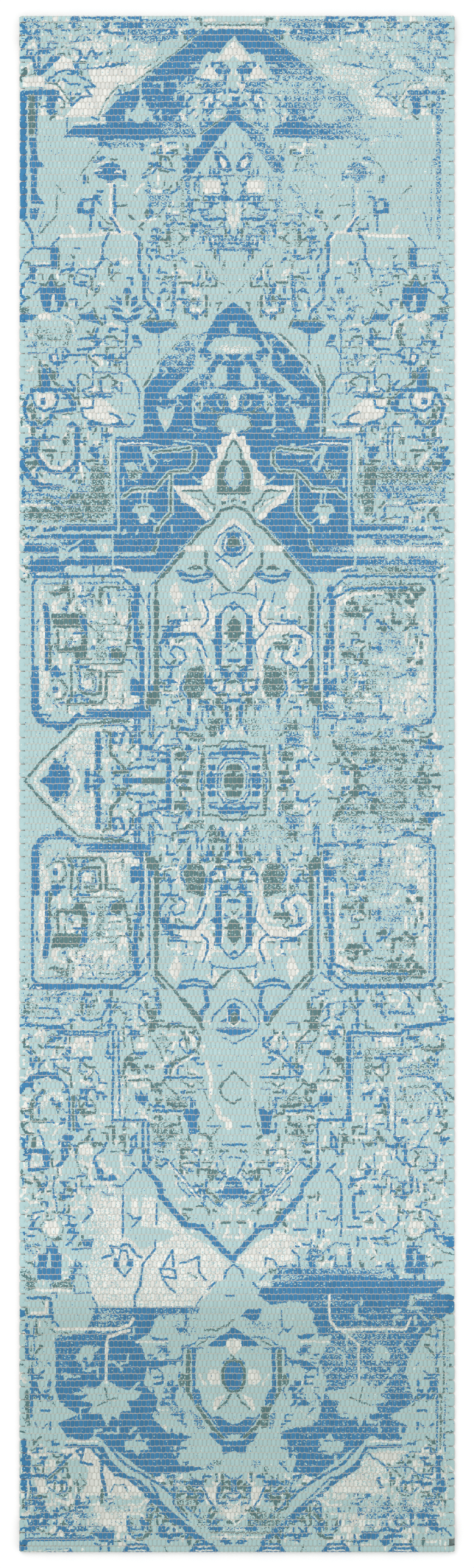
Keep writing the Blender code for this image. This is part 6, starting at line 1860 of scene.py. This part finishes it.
# The bands of rows that the cloth is made in: a name, first and last row, and the body or fold it follows
BANDS = (
    ("1", 1, 34, "near_end"), ("2", 34, 67, "near"), ("3", 67, 100, "near_middle"),
    ("4", 100, 132, "mid"), ("5", 132, 165, "far_middle"), ("6", 165, 198, "far"),
    ("7", 198, 231, "far_end"),
)


def hold(piece, body_or_fold):
    """Rides the piece on a body; a piece on a fold is not bent, only its placement is applied to its mesh."""
    if body_or_fold in FOLDS:
        first, second, at, reach = FOLDS[body_or_fold]
        at - reach
        at + reach
        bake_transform(piece)
    else:
        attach(piece, body_or_fold)


# ---------------------------------------------------------------- materials

# How much darker each channel of the colour is made at the near end
NEAR_DARKENING = (0.82, 0.84, 0.82)


def floats_mask(graph):
    """A place's column and row, how far into a gap, its float's random value, and how far from its middle."""
    cell = graph.node("ShaderNodeAttribute", {"attribute_name": "cell"}, output=1)
    column, row, _ = graph.parts(cell)
    shifted = column + row.floor().wrapped(2.0) * 0.5
    across = ((shifted.fract() - 0.5).abs()) * 2.0
    along = ((row.fract() - 0.5).abs()) * 2.0
    fray = graph.noise(graph.vector(column * 3.0, row * 3.0), 1.0, 1.0)
    edge = across ** 3.4 + along ** 4.4 + (fray - 0.5) * 0.45
    gap = edge.step(0.35, 1.05)
    chance = graph.random(shifted.floor(), row.floor())
    return column, row, gap, chance, along


def yarn_bump(graph, column, row, depth):
    """Fine fibres along the floats."""
    fibres = graph.noise(graph.vector(column * 9.0, row * 2.2), 1.0, 3.0)
    return graph.node("ShaderNodeBump", {}, {"Strength": depth, "Distance": 0.0006, "Height": fibres})


def cotton_shader(graph, colour, roughness, normal):
    graph.join(graph.shader.inputs["Base Color"], colour)
    graph.join(graph.shader.inputs["Roughness"], roughness)
    graph.join(graph.shader.inputs["Normal"], normal)
    graph.shader.inputs["Sheen Weight"].default_value = 0.08
    graph.shader.inputs["Specular IOR Level"].default_value = 0.2
    return graph.material


def printed_colour(graph, column, row):
    """The face's colour: ground, then white, teal and blue, each broken up where the print is worn."""
    ink = graph.node("ShaderNodeAttribute", {"attribute_name": "ink"}, output=0)
    # The ink's last channel: how much darker the colour is made towards the near end
    deep = graph.node("ShaderNodeAttribute", {"attribute_name": "ink"}, output=3)
    blue, teal, white = graph.parts(ink)
    speck = graph.random((column * 3.6).floor(), (row * 7.0).floor())
    skip = graph.random((column * 3.1).floor(), (row * 5.0).floor() + 40.0).step(0.93, 0.98)
    fleck = graph.random((column * 4.0).floor(), (row * 6.0).floor() + 90.0)
    cloud = graph.noise(graph.vector(column * 0.7, row * 1.2), 1.0, 3.0)
    limit = 0.07 + speck * 0.52 + cloud * 0.35 + skip * 0.4
    tone = graph.noise(graph.vector(column * 0.05, row * 0.35), 1.0, 3.0)
    float_tone = graph.random((column + row.floor().wrapped(2.0) * 0.5).floor(), row.floor())
    ground = graph.shade(rgba(colours().aqua), 0.90 + tone * 0.14 + float_tone * 0.05)
    layers = (
        (white + fleck.step(0.975, 0.98) * 0.45, colours().white),
        (teal, colours().teal),
        (blue + fleck.step(0.02, 0.015) * 0.4, colours().blue),
    )
    for cover, colour in layers:
        mask = (cover - limit).step(-0.05, 0.05)
        tint = graph.shade(rgba(colour), 0.90 + float_tone * 0.2)
        ground = graph.mix(mask * 0.95, ground, tint)
    return ground, deep


def darker_towards_near_end(graph, colour, deep):
    """The colour made darker towards the near end, laid over everything."""
    darker = graph.node("ShaderNodeVectorMath", {"operation": "MULTIPLY"}, {0: colour, 1: NEAR_DARKENING})
    return graph.mix(deep, colour, darker)


def gap_yarn_and_shade(graph, along):
    """The unprinted yarn between floats, with painted shade: darker and greenish in the upright gaps, and
    paler where rows meet.
    """
    row_line = along.step(0.78, 0.95)
    return graph.mix(row_line, rgba(colours().cotton), rgba(colours().crossing))


def printed_cotton():
    """Cotton floats printed on their crests, with worn, speckled ink, and bare yarn with painted shade in the
    gaps.
    """
    graph = Graph("printed_cotton")
    column, row, gap, _, along = floats_mask(graph)
    ground, deep = printed_colour(graph, column, row)
    # Painted shade: the gaps take the bare yarn's colour with shade painted in, more strongly where rows meet
    share = gap * (0.58 + along.step(0.78, 0.95) * 0.2)
    colour = darker_towards_near_end(graph, graph.mix(share, ground, gap_yarn_and_shade(graph, along)), deep)
    return cotton_shader(graph, colour, 0.88 + gap * 0.06, yarn_bump(graph, column, row, 0.35))


def weft_cotton():
    """The weft's turns: printed where they face up, undyed on their sides and undersides."""
    graph = Graph("weft_cotton")
    cell = graph.node("ShaderNodeAttribute", {"attribute_name": "cell"}, output=1)
    column, row, up = graph.parts(cell)
    ground, deep = printed_colour(graph, column, row)
    fray = graph.noise(graph.vector(column * 2.0, row * 3.0), 1.0, 2.0)
    reached = (up + fray * 0.5).step(0.35, 0.75)
    undyed = graph.shade(rgba(colours().crossing), 0.95 + fray * 0.2)
    colour = darker_towards_near_end(graph, graph.mix(reached, undyed, ground), deep)
    return cotton_shader(graph, colour, 0.9 + fray * 0.05, yarn_bump(graph, row, column, 0.4))


def hem_cotton():
    """The turned end: printed on its nose, with the print fading as it goes under."""
    graph = Graph("hem_cotton")
    column, row, gap, chance, along = floats_mask(graph)
    cell = graph.node("ShaderNodeAttribute", {"attribute_name": "cell"}, output=1)
    up = graph.parts(cell)[2]
    ground, deep = printed_colour(graph, column, row)
    undyed = graph.shade(rgba(colours().white), 0.80 + chance * 0.12)
    ground = graph.mix(up.step(0.2, 0.6), undyed, ground)
    # Bare yarn with painted shade in the gaps
    colour = darker_towards_near_end(graph, graph.mix(gap * 0.7, ground, gap_yarn_and_shade(graph, along)), deep)
    return cotton_shader(graph, colour, 0.88 + gap * 0.06, yarn_bump(graph, column, row, 0.35))


def sewing_thread():
    """Twisted beige thread."""
    graph = Graph("sewing_thread")
    place = graph.node("ShaderNodeTexCoord", {}, output=3)
    x, y, z = graph.parts(place)
    twist = graph.noise(graph.vector(x * 900.0, y * 300.0, z * 900.0), 1.0, 2.0)
    colour = graph.shade(rgba(colours().thread), 0.8 + twist * 0.35)
    bump = graph.node("ShaderNodeBump", {}, {"Strength": 0.3, "Distance": 0.0002, "Height": twist})
    return cotton_shader(graph, colour, 0.7 + twist * 0.1, bump)


def natural_cotton():
    """Undyed floats on the back, with painted shade in the gaps between them."""
    graph = Graph("natural_cotton")
    column, row, gap, chance, _ = floats_mask(graph)
    plain = graph.shade(rgba(colours().white), 0.80 + chance * 0.12)
    # Painted shade: the gaps take the darker, greenish gap colour
    colour = graph.mix(gap * 0.6, plain, rgba(colours().cotton))
    return cotton_shader(graph, colour, 0.9 + gap * 0.05, yarn_bump(graph, column, row, 0.4))


# ---------------------------------------------------------------- operators

FLOOR_SIZE, FLOOR_DROP = 40, 0.0005
# The height that the camera takes in, in runner widths
VIEW_HEIGHT = 3.607843
# Each lamp's name, its tilt and turn in degrees, and its strength
LAMPS = (("key", 36, 215, 0.62), ("fill", 50, 40, 0.15))
LAMP_SPREAD = 35

class RUNNER_OT_face(bpy.types.Operator):
    """Weaves and prints the face, band by band"""

    bl_idname = "runner.face"
    bl_label = "Weave the face"

    def execute(self, context):
        material = printed_cotton()
        settings = cloth()
        for name, low, high, hold_by in BANDS:
            size = settings.columns * ACROSS, (high - low) * FACE_ALONG
            mesh, s, t = grid_mesh(f"face_floats_{name}", *size)
            columns, rows = s * settings.columns, low + t * (high - low)
            x, y = weave_place(columns, rows)
            height = relief(columns, rows)
            z = THICKNESS - settings.float_rise * (1 - height)
            place_points(mesh, x, y, thinned(z, columns) + lift(y) - crease(rows))
            put_cell(mesh, columns, rows)
            put_ink(mesh, x, y)
            put_bake_map(mesh, s, t)
            piece = finish_piece(f"face_floats_{name}", mesh, material)
            hold(piece, hold_by)
        for quarter in QUARTERS:
            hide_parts(f"face_warp_{quarter}")
        return {"FINISHED"}


class RUNNER_OT_back(bpy.types.Operator):
    """Weaves the undyed back, band by band"""

    bl_idname = "runner.back"
    bl_label = "Weave the back"

    def execute(self, context):
        material = natural_cotton()
        settings = cloth()
        for name, low, high, hold_by in BANDS:
            size = settings.columns * ACROSS, (high - low) * BACK_ALONG
            mesh, s, t = grid_mesh(f"back_floats_{name}", *size)
            columns, rows = s * settings.columns, low + t * (high - low)
            x, y = weave_place(columns, rows)
            height = relief(columns + 0.5, rows)
            z = settings.float_rise * BACK_RISE * (1 - height)
            place_points(mesh, x, y, thinned(z, columns) + lift(y))
            mesh.flip_normals()
            put_cell(mesh, columns + 0.5, rows)
            put_bake_map(mesh, s, t)
            piece = finish_piece(f"back_floats_{name}", mesh, material)
            hold(piece, hold_by)
        for quarter in QUARTERS:
            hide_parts(f"back_warp_{quarter}")
        return {"FINISHED"}


class RUNNER_OT_weft(bpy.types.Operator):
    """Lays the weft back and forth through the cloth, with its turns at the selvedges"""

    bl_idname = "runner.weft"
    bl_label = "Lay the weft"

    def execute(self, context):
        material = weft_cotton()
        for name, low, high, hold_by in BANDS:
            piece = finish_piece(f"weft_turns_{name}", self.yarn(f"weft_turns_{name}", low, high), material)
            hold(piece, hold_by)
        for quarter in QUARTERS:
            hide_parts(f"weft_{quarter}")
        return {"FINISHED"}

    def yarn(self, name, low, high):
        settings = cloth()
        path = weft_path(low, high)
        mesh, s, t = grid_mesh(name, len(path) - 1, YARN_SIDES)
        index = np.rint(s * (len(path) - 1)).astype(int)
        heading = np.gradient(path, axis=0)
        heading /= np.hypot(heading[:, 0], heading[:, 1])[:, None]
        run = np.concatenate([[0], np.cumsum(np.hypot(*np.diff(path, axis=0).T))])
        angle = t * math.tau
        ply = 1 + PLY_DEPTH * np.cos(PLIES * angle + run[index] * math.tau / settings.ply)
        sideways = settings.yarn_width / 2 * np.cos(angle) * ply
        x = path[index, 0] + heading[index, 1] * sideways
        y = path[index, 1] - heading[index, 0] * sideways
        turned = smoothed((np.abs(path[index, 0]) - WIDTH / 2 + 2 * TURN_DEPTH) / TURN_DEPTH)
        rise = settings.yarn_height / 2 * (BURIED_HEIGHT + (1 - BURIED_HEIGHT) * turned) * ply
        z = THICKNESS / 2 + rise * np.sin(angle) - BURIED_DEPTH * (1 - turned) + lift(path[index, 1])
        x, y = self.squared(x, y)
        x = np.clip(x, -WIDTH / 2, WIDTH / 2)
        place_points(mesh, x, y, z)
        columns = (x + weave_width() / 2) / weave_width() * settings.columns
        put_cell(mesh, columns, (y + END) / PITCH, np.sin(angle))
        put_ink(mesh, x, y)
        put_bake_map(mesh, s, t)
        close_up(mesh)
        return mesh

    def squared(self, x, y):
        """The turns pressed from half rounds into blocks two picks tall."""
        inner = WIDTH / 2 - TURN_DEPTH
        right = np.where(x > 0, 1, 0)
        middle = 2 * np.floor(((y + END) / PITCH + 1 - right) / 2) + right
        middle = -END + middle * PITCH
        across = np.clip(np.abs(x) - inner, 0, None) / TURN_DEPTH
        along = (y - middle) / PITCH
        flat = (across ** SQUARENESS + np.abs(along) ** SQUARENESS) ** (1 / SQUARENESS)
        stretch = np.where(across > 0, np.hypot(across, along) / np.maximum(flat, 1e-6), 1.0)
        stretch = 1 + (stretch - 1) * np.clip(across / 0.3, 0, 1)
        x = np.where(across > 0, np.sign(x) * (inner + across * stretch * TURN_DEPTH), x)
        return x, middle + along * stretch * PITCH


class RUNNER_OT_hems(bpy.types.Operator):
    """Turns both ends under: a round nose, and the allowance beneath the cloth"""

    bl_idname = "runner.hems"
    bl_label = "Turn the hems"

    def execute(self, context):
        material = hem_cotton()
        for quarter, sign, body in ((1, -1, "near_end"), (4, 1, "far_end")):
            mesh, girth = self.hem(f"turned_hem_{quarter}", sign)
            piece = finish_piece(f"turned_hem_{quarter}", mesh, material)
            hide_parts(f"hem_{quarter}")
            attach(piece, body)
        return {"FINISHED"}

    def profile(self):
        """The hem's section: distance from the end, height, which way is out, and the print's reach."""
        nose = HEM_TOP / 2
        points = [(PITCH - (PITCH - nose) * k / 4, HEM_TOP, 0, 1, 1.0) for k in range(4)]
        for step in range(NOSE_STEPS + 1):
            angle = math.pi * step / NOSE_STEPS
            out, up = math.sin(angle), math.cos(angle)
            points.append((nose * (1 - out), nose * (1 + up), -out, up, 0.5 + up))
        allowance = HEM_PICKS * PITCH
        steps = 3 * HEM_PICKS
        points += [(nose + (allowance - nose) * k / steps, 0, 0, -1, 0) for k in range(1, steps + 1)]
        return points, [(allowance, ALLOWANCE, 0, 0, 0), (PITCH, ALLOWANCE, 0, 0, 0)]

    def hem(self, name, sign):
        settings = cloth()
        outer, inner = self.profile()
        section = np.array(outer + inner + outer[:1])
        steps = np.hypot(np.diff(section[:, 0]), np.diff(section[:, 1]))
        girth = float(steps[: len(outer) - 1].sum())
        run = np.concatenate([[0], np.cumsum(steps)])
        margin = settings.selvedge / weave_width() * settings.columns
        mesh, s, t = grid_mesh(name, (settings.columns + 3) * ACROSS, len(section) - 1)
        index = np.rint(t * (len(section) - 1)).astype(int)
        from_end, z, out, up, reach = section[index].T
        columns = -margin + s * (settings.columns + 2 * margin)
        rows = PICKS / 2 + sign * (PICKS / 2 - 1 + run[index] / PITCH)
        sunk = settings.float_rise * HEM_DIP * (1 - relief(columns, rows))
        x = (s - 0.5) * WIDTH
        round_off = np.clip((np.abs(x) - WIDTH / 2 + CORNER) / CORNER, 0, 1)
        squeeze = np.sqrt(1 - 0.9 * round_off ** 2)
        z = (z - up * sunk - HEM_TOP / 2) * squeeze + HEM_TOP / 2
        from_end = from_end - out * sunk + CORNER * (1 - squeeze) * 0.5
        y = sign * (END - from_end)
        place_points(mesh, x, y, z)
        put_cell(mesh, columns, rows, reach)
        put_ink(mesh, x, sign * (END - np.maximum(PITCH - run[index], 0.0005)))
        put_bake_map(mesh, s, t)
        close_up(mesh)
        return mesh, girth


class RUNNER_OT_stitches(bpy.types.Operator):
    """Sews both hems with a row of stitches sunk behind the nose"""

    bl_idname = "runner.stitches"
    bl_label = "Sew the hems"

    def execute(self, context):
        material = sewing_thread()
        for quarter, sign, body in ((1, -1, "near_end"), (4, 1, "far_end")):
            mesh = self.row(f"hem_stitches_{quarter}", sign)
            piece = finish_piece(f"hem_stitches_{quarter}", mesh, material)
            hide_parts(f"hem_thread_{quarter}")
            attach(piece, body)
        return {"FINISHED"}

    def row(self, name, sign):
        settings = cloth()
        work = bmesh.new()
        count = int(weave_width() / settings.stitch)
        for number in range(count):
            middle = (number - (count - 1) / 2) * settings.stitch
            place = Matrix.Translation((middle, sign * (END - PITCH), HEM_TOP - THREAD_DEPTH))
            shape = Matrix.Diagonal((settings.stitch * STITCH_SHARE, THREAD, THREAD, 1))
            bmesh.ops.create_uvsphere(work, u_segments=8, v_segments=6, radius=1, matrix=place @ shape)
        mesh = bpy.data.meshes.new(name)
        work.to_mesh(mesh)
        work.free()
        return mesh


class RUNNER_OT_stage(bpy.types.Operator):
    """Sets the floor, soft lights and the camera above the runner"""

    bl_idname = "runner.stage"
    bl_label = "Set the stage"

    def execute(self, context):
        scene = context.scene
        scene.view_settings.view_transform = "Standard"
        self.floor()
        self.lights(scene)
        self.camera(scene)
        return {"FINISHED"}

    def floor(self):
        mesh, s, t = grid_mesh("floor", 2, 2)
        place_points(mesh, (s - 0.5) * FLOOR_SIZE, (t - 0.5) * FLOOR_SIZE, 0 * s - FLOOR_DROP)
        graph = Graph("pale_floor")
        graph.shader.inputs["Base Color"].default_value = (0.985, 0.985, 0.985, 1)
        graph.shader.inputs["Roughness"].default_value = 0.9
        graph.shader.inputs["Specular IOR Level"].default_value = 0.0
        finish_piece("floor", mesh, graph.material, smooth=False)

    def lights(self, scene):
        world = bpy.data.worlds.new("studio")
        scene.world = world
        world.use_nodes = True
        background = world.node_tree.nodes["Background"]
        background.inputs["Color"].default_value = (1.0, 1.0, 1.0, 1)
        background.inputs["Strength"].default_value = 0.86
        for name, tilt, turn, power in LAMPS:
            lamp = bpy.data.lights.new(name, "SUN")
            lamp.angle = math.radians(LAMP_SPREAD)
            lamp.energy = power
            holder = bpy.data.objects.new(name, lamp)
            holder.rotation_euler = (math.radians(tilt), 0, math.radians(turn))
            scene.collection.objects.link(holder)

    def camera(self, scene):
        data = bpy.data.cameras.new("camera")
        data.lens = 150
        data.sensor_width = 36
        data.sensor_fit = "AUTO"
        data.clip_end = 50
        holder = bpy.data.objects.new("camera", data)
        holder.location = (0, 0, VIEW_HEIGHT * WIDTH * data.lens / data.sensor_width)
        scene.collection.objects.link(holder)
        scene.camera = holder


class RUNNER_PT_panel(bpy.types.Panel):
    """The runner's settings and steps"""

    bl_idname = "RUNNER_PT_panel"
    bl_label = "Runner rug"
    bl_space_type = "VIEW_3D"
    bl_region_type = "UI"
    bl_category = "Runner"

    def draw(self, context):
        for settings in (context.scene.runner_cloth, context.scene.runner_colours):
            for key in settings.__annotations__:
                self.layout.prop(settings, key)
        for operator in OPERATORS:
            self.layout.operator(operator.bl_idname)


OPERATORS = (
    RUNNER_OT_face, RUNNER_OT_back, RUNNER_OT_weft, RUNNER_OT_hems, RUNNER_OT_stitches, RUNNER_OT_stage,
)
CLASSES = (RunnerCloth, RunnerColours, *OPERATORS, RUNNER_PT_panel)


def register():
    for cls in CLASSES:
        bpy.utils.register_class(cls)
    bpy.types.Scene.runner_cloth = bpy.props.PointerProperty(type=RunnerCloth)
    bpy.types.Scene.runner_colours = bpy.props.PointerProperty(type=RunnerColours)


def unregister():
    del bpy.types.Scene.runner_colours
    del bpy.types.Scene.runner_cloth
    for cls in reversed(CLASSES):
        bpy.utils.unregister_class(cls)


def main():
    register()
    bpy.ops.runner.face()
    bpy.ops.runner.back()
    bpy.ops.runner.weft()
    bpy.ops.runner.hems()
    bpy.ops.runner.stitches()
    bpy.ops.runner.stage()


if __name__ == "__main__":
    main()
